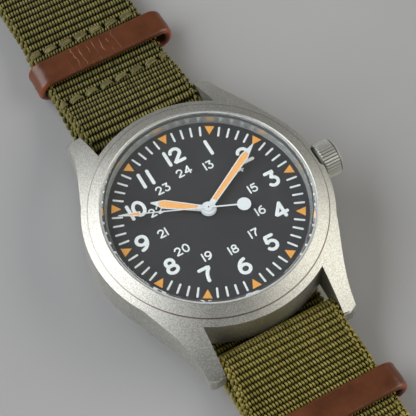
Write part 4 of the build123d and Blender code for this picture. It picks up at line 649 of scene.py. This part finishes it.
def build_materials():
    mats = {
        "case_steel": metal("blasted_steel", (182, 181, 174), (224, 223, 215), 0.5, 6000, 1.0, contrast=0.08),
        "crown_steel": metal("satin_crown", (196, 197, 190), (226, 227, 219), 0.42, 7000, 0.3),
        "polished_steel": metal("turned_steel", (196, 200, 197), (214, 218, 215), 0.22, 5000, 0.0,
                                rough_swing=0.03),
        "buckle_steel": metal("buckle_steel", (172, 171, 167), (203, 202, 198), 0.32, 8000, 0.25),
        "bar_steel": metal("bar_steel", (170, 170, 168), (200, 200, 198), 0.25, 6000, 0.1, (0.2, 1, 1)),
        "train_steel": metal("train_steel", (150, 152, 156), (196, 198, 202), 0.2, 6000, 0.1),
        "spring_steel": metal("spring_steel", (70, 82, 120), (120, 130, 160), 0.24, 6000, 0.08),
        "train_brass": metal("train_brass", (190, 148, 72), (224, 186, 108), 0.24, 5000, 0.12),
        "plate_nickel": metal("plate_nickel", (176, 170, 158), (206, 202, 192), 0.28, 5000, 0.1),
        "lume_orange": enamel("wedge_lume", (236, 164, 66), (252, 184, 88), 0.32, (0.52, 0.68), 5200, 4, 0.65,
                              0.25),
        "hand_white": enamel("hand_enamel", (214, 223, 227), (234, 241, 244), 0.32, (0.26, 0.42), 5200, 4,
                             0.65, 0.08),
        "hand_lume": enamel("hand_lume", (238, 170, 96), (250, 190, 116), 0.32, (0.52, 0.68), 5200, 4, 0.65,
                            0.25),
        "dial_print": enamel("dial_print", (222, 231, 234), (246, 251, 253), 0.3, (0.42, 0.6), 6500, 3, 0.6,
                             0.1),
        "leather": leather(False), "leather_creased": leather(True)}

    # Painted shade: a fine dark line in the joint round the bezel, strongest towards the front
    m = mats["case_steel"]
    x, y, z = m.axes()
    joint = m.math("ABSOLUTE", m.math("SUBTRACT", m.length(x, y), joint_radius))
    line = m.times(m.range(joint, joint_full, joint_gone, 1.0, 0.0),
                   m.range(z, joint_low, joint_low + joint_rise, 0.0, 1.0))
    m.overlay(m.times(line, m.range(y, joint_strong, joint_faint, 0.85, 0.22)), (104, 78, 62))

    # Painted shade in the crown's flutes: darker valleys under the bright ridges, told by their distance from
    # its axis
    m = mats["crown_steel"]
    x, y, z = m.axes()
    radius = m.length(y, m.math("SUBTRACT", z, stem_height))
    m.overlay(m.times(m.range(radius, flute_floor, flute_top, 0.75, 0.0),
                      m.range(x, flute_start, flute_full, 1.0, 0.0)), (92, 92, 86))
    m.set(Metallic=0.7)

    # Fine marks of turning run round the axis, so reflections smear across them
    m = mats["polished_steel"]
    m.set(Metallic=0.7)
    m.bump(m.noise(30000, 2, 0.6, m.stretch(0, 0, 1)), 0.8, turned)

    # Straight stripes on the nickel plates
    m = mats["plate_nickel"]
    m.set(Roughness=m.range(m.bands(230.0, m.stretch(1, 1, 1, turn=(0, 0, 0.9))), 0.0, 1.0, 0.18, 0.4))

    # Clear crystal: lamps reach the dial through it
    mats["crystal"] = m = Mat("crystal_clear")
    m.set(Base_Color=(0.985, 0.99, 0.99, 1), Transmission_Weight=1.0, IOR=1.77, Specular_IOR_Level=0.12,
          Roughness=m.range(m.noise(60, 2, 0.5), 0.45, 0.75, 0.0, 0.02))
    clear = m.new("ShaderNodeBsdfTransparent", Color=(0.95, 0.955, 0.955, 1))
    blend = m.new("ShaderNodeMixShader")
    m.put(blend.inputs[0], m.new("ShaderNodeLightPath").outputs["Is Shadow Ray"])
    m.put(blend.inputs[1], m.bsdf.outputs[0])
    m.put(blend.inputs[2], clear.outputs[0])
    m.put(m.out.inputs["Surface"], blend.outputs[0])

    # Painted light: the gasket is painted pale, near white, for the light caught at the crystal's edge
    mats["pale_gasket"] = m = Mat("gasket_pale")
    m.set(Base_Color=m.ramp(m.noise(900), (0.35, (196, 198, 196)), (0.7, (216, 218, 216))), Roughness=0.45,
          Subsurface_Weight=0.1)

    # Dial lacquer: near black with a very fine grain
    mats["dial_black"] = m = Mat("dial_lacquer")
    grain = m.noise(9000, 3, 0.6)
    tone = m.math("MULTIPLY_ADD", grain, 0.35, m.times(m.noise(90, 3, 0.5), 0.65))
    m.set(Base_Color=m.ramp(tone, (0.35, (40, 40, 42)), (0.65, (50, 50, 52))),
          Roughness=m.range(grain, 0.3, 0.7, 0.42, 0.55))
    m.bump(grain, 0.12, finest)

    # Webbing: olive yarns of fine filaments, with each bead a little different, and painted light beside the
    # case at 6 o'clock
    mats["webbing_yarn"] = m = Mat("webbing_yarn")
    patchy = m.noise(900, 2, 0.5)
    mixed = m.math("ADD", m.times(m.attribute("tone"), 0.2),
                   m.math("MULTIPLY_ADD", patchy, 0.55, m.times(m.noise(70, 3, 0.5), 0.25)))
    filament = m.filaments()
    green = m.ramp(mixed, (0.3, (116, 110, 60)), (0.5, (139, 132, 75)), (0.72, (163, 154, 95)))
    # Painted light: a lighter, yellower copy of the yarn's colour, laid over it beside the case at 6 o'clock
    yellow = m.ramp(mixed, (0.3, (146, 134, 66)), (0.5, (173, 159, 84)), (0.72, (198, 184, 108)))
    fade = m.attribute("faded")
    body = m.mix(m.range(filament, -1, 1, 0.0, 0.3), m.mix(fade, green, yellow), srgb(76, 72, 32))
    # Painted shade: the yarns darken to near black where they pass between the ribs, a little on the edge
    # loops, and less under the painted light
    painted_groove_shade = m.times(m.range(m.attribute("shown"), 0.3, 0.85, 0.92, 0.0), m.range(fade, 0, 1, 1.0, 0.75))
    m.set(Base_Color=m.mix(painted_groove_shade, body, srgb(19, 24, 8)), Roughness=m.range(patchy, 0.3, 0.7, 0.45, 0.62),
          Specular_IOR_Level=0.22)
    m.bump(filament, 0.35, fine)

    # Painted shade: the ground web of cross threads is near black, for the deep shade in the gaps between the
    # yarns
    mats["webbing"] = m = Mat("webbing_ground_shade")
    m.set(Base_Color=m.ramp(m.noise(1500, 3, 0.6), (0.3, (10, 13, 5)), (0.7, (18, 23, 8))),
          Roughness=0.95, Specular_IOR_Level=0.05)
    m.bump(m.noise(5000, 3, 0.6), 0.4, fine)

    mats["webbing_stitch"] = m = Mat("webbing_stitch")
    body = m.ramp(m.noise(1600, 3, 0.6), (0.3, (114, 106, 64)), (0.7, (158, 147, 96)))
    m.set(Base_Color=m.mix(m.range(m.attribute("tone"), 0, 1, 0.0, 0.65), body, srgb(58, 58, 32)),
          Roughness=0.5, Specular_IOR_Level=0.35)
    m.bump(m.noise(7000, 2, 0.5, m.stretch(0.2, 1, 1)), 0.4, fine)

    mats["webbing_sealed"] = m = Mat("webbing_sealed")
    m.set(Base_Color=m.ramp(m.noise(1100, 4, 0.6), (0.3, (44, 42, 22)), (0.7, (78, 72, 38))),
          Roughness=m.range(m.noise(900, 3, 0.5), 0.3, 0.7, 0.22, 0.5))
    m.bump(m.noise(2600, 3, 0.6), 0.5, coarse)

    for slot, name, dark, light in (("rubber", "black_rubber", (22, 22, 24), (38, 38, 40)),
                                    ("ring_polymer", "ring_polymer", (58, 60, 64), (78, 80, 84))):
        mats[slot] = m = Mat(name)
        m.set(Base_Color=m.ramp(m.noise(1800, 4, 0.6), (0.3, dark), (0.7, light)),
              Roughness=m.range(m.noise(1200), 0.3, 0.7, 0.5, 0.7))
        m.bump(m.noise(5200, 3, 0.6), 0.25, fine)
    return {key: made.m for key, made in mats.items()}


MATS = build_materials()
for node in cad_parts.values():
    for place in node.material_slots:
        key = place.material.name.split(".")[0]
        if key in MATS:
            place.material = MATS[key]
        else:
            print("no material for slot", key, "of", node.name)


def finish(obj, material, slot, body="case"):
    """Gives an object its material and the body that it rides on. The slot that it stands in for is not used.
    """
    obj.data.materials.clear()
    obj.data.materials.append(MATS[material])
    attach(obj, body)
    return obj


# Straps
straps = {}
for name, path, has_tail in (("web_main", main_path, True), ("web_under", under_path, False)):
    web = finish(ground_web(name, path, has_tail), "webbing", "webbing")
    yarns = warp(name, path, has_tail) + [selvages(name, path, has_tail)]
    straps[name] = web, [finish(piece, "webbing_yarn", "webbing") for piece in yarns]
(web_main, warp_main), (web_under, warp_under) = straps.values()

# Rows of stitches near the case and across the fold, found along Y between two lengths of each path
sewn, dents = [], []
for name, path, rows, low, high, off, side in (
        ("stitches_top", main_path, (30.1, 40.6), 20, 90, 0.62, 1),
        ("stitches_under", under_path, (30.1, 40.6), 0, 20, 0.6, -1),
        ("stitches_fold_top", main_path, (61.0, 67.0), 22, 60, 0.62, 1),
        ("stitches_fold_under", main_path, (61.0, 67.0), 0, 20, 0.33, 1)):
    made, holes = stitches(name, path, [path.nearest(y, low, high) for y in rows], off, side)
    sewn.append(finish(made, "webbing_stitch", "webbing"))
    # The dents take the near-black ground colour: painted shade in the needle holes
    dents.append(finish(holes, "webbing", "webbing"))

# Sealed rims of the holes: the distance from the hole's edge and the height of each point of their section
rims = Batch()
half = [(0.0, 0.5), (0.04, 0.62), (0.15, 0.66), (0.27, 0.6), (0.33, 0.4)]
section = half + [(r, -h) for r, h in half[::-1]]
rim_sides = 32
for y in hole_places:
    turn = np.linspace(0, 2 * math.pi, rim_sides + 1)[:-1]
    verts = [((hole_radius + r) * math.cos(a), y + (hole_radius + r) * math.sin(a), rest_z + h)
             for a in turn for r, h in section]
    a, b, c, d = corners(rim_sides, len(section), True, True)
    rims.add(verts, quads(a, d, c, b))

# Sealed edges of the tongue's slot, of the cut ends and of the tip, each three rods high
edge_radius, end_inset, edge_heights, slot_heights = 0.27, 0.12, (-0.36, 0.0, 0.36), (-0.38, 0.0, 0.38)


def seal(points, radius=edge_radius):
    rims.add(*tube(points, radius, 8))


slot_ends = main_path.nearest(slot_low, 0, 18), main_path.nearest(slot_low, 20, 40)
for side in (-1, 1):
    for off in slot_heights:
        seal(main_path.lift(np.linspace(*slot_ends, 40), side * (slot_half + 0.12), off))
for s_end in slot_ends:
    for off in slot_heights:
        seal(main_path.lift(np.full(9, s_end), np.linspace(-slot_half, slot_half, 9), off), 0.25)
for path, s_end in ((main_path, end_inset), (under_path, end_inset),
                    (under_path, under_path.length - end_inset)):
    for off in edge_heights:
        seal(path.lift(np.full(31, s_end), np.linspace(-web_half + 0.4, web_half - 0.4, 31), off))
sweep = math.asin(min(1.0, web_half / tip_radius))
turn = np.linspace(-sweep, sweep, 61)
for off in edge_heights:
    seal(np.stack([(tip_radius - 0.3) * np.sin(turn),
                   tail_end + tip_radius - (tip_radius - 0.3) * np.cos(turn), np.full(61, rest_z + off)], -1))
sealed = finish(rims.make("web_sealed_edges"), "webbing_sealed", "webbing")

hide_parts("main_strap")
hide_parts("under_strip")


# Keepers: a leather band with rounded, worn cut edges, closed round the strap
wall, loop_corner, edge_round = 1.2, 1.75, 0.5


def rounded(half_x, half_z, radius, corner_points, side_points, bulge=0.0):
    """A box round the origin with rounded corners, points along its two long sides, and a crown on them."""
    line = []
    for k, (sx, sz) in enumerate(((1, 1), (-1, 1), (-1, -1), (1, -1))):
        for a in np.linspace(k * 90, (k + 1) * 90, corner_points):
            line.append((sx * half_x + radius * math.cos(math.radians(a)),
                         sz * half_z + radius * math.sin(math.radians(a))))
        if k % 2 == 0:
            for x in np.linspace(sx * half_x, -sx * half_x, side_points)[1:-1]:
                line.append((x, sz * (half_z + radius - bulge * (x / half_x) ** 2)))
    return np.array(line)


def keeper(node, material):
    low, high = (np.array(v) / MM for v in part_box(node))
    wide, deep, tall = high - low
    mid = (low + high) / 2
    half_x = (wide - wall) / 2 - loop_corner
    half_z = max((tall - wall) / 2 - loop_corner, 0.02)
    loop = rounded(half_x, half_z, loop_corner, 11, 26)
    keep = [0]
    for k in range(1, len(loop)):
        if np.linalg.norm(loop[k] - loop[keep[-1]]) > 0.04:
            keep.append(k)
    loop = loop[keep]
    ahead = headings(loop, True)
    section = rounded(deep / 2 - edge_round, wall / 2 - edge_round, edge_round, 7, 9, 0.05)
    verts, rim, corner = [], [], []
    for (x, z), (ax, az) in zip(loop, ahead):
        for y, off in section:
            outer = off > 0
            wave = 0.03 * math.sin(x * 1.3 + y) + 0.02 * math.sin(x * 0.6 - y * 1.7)
            lift = off + wave * outer - 0.03
            verts.append((mid[0] + x + az * lift, mid[1] + y * (1 + 0.006 * math.sin(x * 0.8)),
                          mid[2] + z - ax * lift))
            from_edge = abs(y) - deep / 2
            rim.append(np.clip((from_edge + 0.42) / 0.3, 0, 1))
            corner.append(np.clip((abs(x) - half_x - 0.2) / 0.8, 0, 1) * outer
                          * np.clip((from_edge + 0.55) / 0.5, 0, 1))
    faces = quads(*corners(len(loop), len(section), True, True))
    band = mesh_object("leather_" + node, np.clip(verts, low, high), faces, {"rim": rim, "corner": corner})
    finish(band, material, "leather")
    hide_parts(node)


keeper("keeper_12", "leather_creased")
keeper("keeper_6", "leather")


# Dial print: strokes with round ends, a little domed
print_height = 0.035
# Where each point across a stroke lies, as a share of half its width and of its height
print_lanes = ((-1, -0.3), (-0.93, 0.65), (-0.5, 0.95), (0, 1), (0.5, 0.95), (0.93, 0.65), (1, -0.3))


def stroke(points, width, height=print_height, closed=False):
    """A printed line on the dial: its points' places and its faces."""
    points = np.asarray(points, float)
    half = width / 2
    ahead = headings(points, closed)
    scale = np.ones(len(points))
    if not closed:
        turn = np.linspace(0, math.pi / 2, 7)[:-1]
        head = [points[0] - ahead[0] * half * math.cos(a) for a in turn]
        tail = [points[-1] + ahead[-1] * half * math.cos(a) for a in turn[::-1]]
        points = np.vstack([head, points, tail])
        ends = np.sin(turn) + 0.02
        scale = np.concatenate([ends, scale, ends[::-1]])
        ahead = np.vstack([np.tile(ahead[0], (6, 1)), ahead, np.tile(ahead[-1], (6, 1))])
    side = np.stack([-ahead[:, 1], ahead[:, 0]], -1)
    rows = [np.column_stack([points + side * (lane * half * np.minimum(scale, 1))[:, None],
                             np.full(len(points), dial_top + h * height)]) for lane, h in print_lanes]
    a, b, c, d = corners(len(points), len(print_lanes), closed)
    return np.stack(rows, 1).reshape(-1, 3), quads(b, c, d, a)


def bow(cx, cy, rx, ry, start, finish, steps):
    """Points along an elliptic arc, between two angles in degrees."""
    return [(cx + rx * math.cos(math.radians(a)), cy + ry * math.sin(math.radians(a)))
            for a in np.linspace(start, finish, steps)]


def dense(*points):
    """Points along straight lines, close enough together for a stroke."""
    out = [points[0]]
    for a, b in zip(points, points[1:]):
        n = max(1, int(math.dist(a, b) / 0.06))
        out += [(a[0] + (b[0] - a[0]) * k / n, a[1] + (b[1] - a[1]) * k / n) for k in range(1, n + 1)]
    return out


# Numerals a height of one tall: the width of each, and its lines, each closed or not
DIGITS = {
    "0": (0.72, [(bow(0.36, 0.5, 0.36, 0.5, 0, 345, 30), True)]),
    "1": (0.0, [(dense((0, 0), (0, 1)), False)]),
    "2": (0.7, [(bow(0.34, 0.7, 0.33, 0.3, 168, -38, 24) + dense((0.58, 0.5), (0.03, 0.0))
                 + dense((0.05, 0.0), (0.72, 0.0)), False)]),
    "3": (0.64, [(dense((0.04, 1.0), (0.6, 1.0)) + dense((0.58, 0.98), (0.3, 0.62))
                  + bow(0.31, 0.3, 0.33, 0.31, 84, -148, 26), False)]),
    "4": (0.8, [(dense((0.57, 1.0), (0.0, 0.27)) + dense((0.02, 0.26), (0.8, 0.26)), False),
                (dense((0.57, 1.0), (0.57, 0.0)), False)]),
    "5": (0.66, [(dense((0.6, 1.0), (0.12, 1.0)) + dense((0.12, 0.98), (0.06, 0.55))
                  + bow(0.31, 0.32, 0.34, 0.32, 138, -150, 28), False)]),
    "6": (0.7, [(bow(0.35, 0.31, 0.34, 0.31, 0, 345, 28), True),
                (bow(0.62, 0.34, 0.61, 0.65, 176, 96, 16), False)]),
    "7": (0.66, [(dense((0.0, 1.0), (0.66, 1.0)) + bow(0.98, 0.05, 0.72, 0.95, 118, 178, 14), False)]),
    "8": (0.7, [(bow(0.35, 0.755, 0.27, 0.245, 0, 345, 24), True),
                (bow(0.35, 0.27, 0.34, 0.27, 0, 345, 26), True)]),
    "9": (0.7, [(bow(0.35, 0.69, 0.34, 0.31, 0, 345, 28), True),
                (bow(0.08, 0.66, 0.61, 0.65, -4, -84, 16), False)]),
}


def number(batch, text, cx, cy, height, width, space):
    """A number with its middle at (cx, cy): its full height takes in the stroke, and the space between its
    digits is in widths of a stroke."""
    scale = height - width
    gap = width * (1 + space)
    spans = [DIGITS[c][0] * scale for c in text]
    x = cx - (sum(spans) + gap * (len(text) - 1)) / 2
    for c, span in zip(text, spans):
        for line, closed in DIGITS[c][1]:
            pts = [(x + px * scale, cy - scale / 2 + py * scale) for px, py in line]
            batch.add(*stroke(pts, width, closed=closed))
        x += span + gap


dial_top = float(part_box("dial")[1][2]) / MM
# The height and stroke of the two rings of numerals, the spaces within them, and the minute ticks
hour_size, day_size = (2.8, 0.55), (1.45, 0.25)
hour_spaces, hour_space, day_space = {"12": 0.35, "10": 0.2, "11": 1.65}, 0.5, 0.7
tick_from, tick_to, tick_width, tick_height = 12.9, 14.28, 0.33, 0.03
hours, day_hours, minutes = Batch(), Batch(), Batch()
for text, x, y in (("12", 0, 10.6), ("1", 5.3, 9.35), ("2", 9.3, 5.6), ("3", 10.95, 0), ("4", 9.3, -5.2),
                   ("5", 5.4, -9.2), ("6", 0, -10.6), ("7", -5.4, -9.2), ("8", -9.3, -5.4),
                   ("9", -11.15, 0), ("10", -9.25, 5.3), ("11", -5.58, 9.2)):
    number(hours, text, x, y, *hour_size, hour_spaces.get(text, hour_space))
for text, x, y in (("13", 3.75, 6.7), ("14", 7.3, 3.9), ("15", 7.6, 0), ("16", 6.7, -3.8),
                   ("17", 3.95, -6.6), ("18", 0, -7.45), ("19", -3.9, -6.5), ("20", -6.65, -3.8),
                   ("21", -7.8, 0), ("22", -6.9, 3.7), ("23", -4.2, 6.5), ("24", 0, 7.55)):
    number(day_hours, text, x, y, *day_size, day_space)
for k in range(60):
    if k % 5:
        a = math.radians(90 - 6 * k)
        pts = [(r * math.cos(a), r * math.sin(a)) for r in np.linspace(tick_from, tick_to, 6)]
        minutes.add(*stroke(pts, tick_width, tick_height))
for name, batch in (("print_hours", hours), ("print_day_hours", day_hours), ("print_minutes", minutes)):
    finish(batch.make(name), "dial_print", "hand_white")


# Hub of the seconds hand: a turned ring and a centre pin
hub_top = float(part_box("seconds_hand")[1].z) / MM
hub_radius, hub_wire, hub_sides = 0.4, 0.05, 40
turn = np.arange(hub_sides) * 2 * math.pi / hub_sides
ring = [(hub_radius * math.cos(a), hub_radius * math.sin(a), hub_top - 0.01) for a in turn]
finish(mesh_object("hub_ring", *tube(ring, hub_wire, 8, closed=True)), "hand_white", "hand_white", "seconds")
profile = [(0.0, 0.05), (0.06, 0.045), (0.1, 0.03), (0.13, 0.01), (0.13, -0.02)]
verts = [(r * math.cos(a), r * math.sin(a), hub_top + h) for a in turn for r, h in profile]
a, b, c, d = corners(hub_sides, len(profile), True)
finish(mesh_object("hub_pin", verts, quads(b, c, d, a)), "train_steel", "train_steel", "seconds")


# Floor, light and camera
floor_radius, floor_z, floor_sides = 1.6, -0.00002, 64
floor = Mat("floor_pale")
floor.set(Base_Color=floor.ramp(floor.noise(14, 3, 0.5), (0.35, (176, 176, 176)), (0.65, (184, 184, 184))),
          Roughness=0.75)
ring = [(floor_radius * math.cos(a), floor_radius * math.sin(a), floor_z)
        for a in np.arange(floor_sides) * 2 * math.pi / floor_sides]
mesh = bpy.data.meshes.new("floor")
mesh.from_pydata([(0.0, 0.0, floor_z)] + ring, [],
                 [(0, k + 1, (k + 1) % floor_sides + 1) for k in range(floor_sides)])
ground = bpy.data.objects.new("floor", mesh)
scene.collection.objects.link(ground)
mesh.materials.append(floor.m)

world = bpy.data.worlds.new("studio")
world.use_nodes = True
scene.world = world
sky = world.node_tree.nodes["Background"].inputs
sky["Color"].default_value = srgb(232, 234, 238)
sky["Strength"].default_value = 0.16


def lamp(name, place, size, power, colour):
    """A soft box that faces the origin."""
    data = bpy.data.lights.new(name, "AREA")
    data.shape = "RECTANGLE"
    data.size, data.size_y = size
    data.energy = power
    data.color = colour
    obj = bpy.data.objects.new(name, data)
    scene.collection.objects.link(obj)
    obj.location = place
    obj.rotation_euler = (-Vector(place)).to_track_quat("-Z", "Y").to_euler()


lamp("left_softbox", (-0.68, 0.36, 0.52), (1.4, 0.8), 10.4, (0.97, 0.98, 1.0))
lamp("right_softbox", (0.74, -0.36, 0.46), (1.0, 0.75), 5.6, (1.0, 0.97, 0.89))

# The camera's focal length in pixels, its turn, and where the middle of the dial's ring of marks lies seen
# from it, in radii of that ring
focal, turn_vector = 1818.73335, Vector((2.58090420, -0.677690287, 0.171207872))
mark_radius, mark_height, frame_width, sensor_width = 14.05, 10.2, 416, 36.0
shift_vector = Vector((0.00613451076, 0.0236261778, 19.2535062)) * mark_radius
rotation = Matrix.Rotation(turn_vector.length, 3, turn_vector.normalized())
camera_data = bpy.data.cameras.new("camera")
camera = bpy.data.objects.new("camera", camera_data)
scene.collection.objects.link(camera)
eye = -(rotation.transposed() @ shift_vector) + Vector((0, 0, mark_height))
facing = rotation.transposed() @ Matrix(((1, 0, 0), (0, -1, 0), (0, 0, -1)))
camera.matrix_world = Matrix.Translation(eye * MM) @ facing.to_4x4()
camera_data.sensor_fit = "HORIZONTAL"
camera_data.sensor_width = sensor_width
camera_data.lens = focal / frame_width * sensor_width
camera_data.clip_start, camera_data.clip_end = 0.01, 20.0
scene.camera = camera

scene.view_settings.view_transform = "Standard"
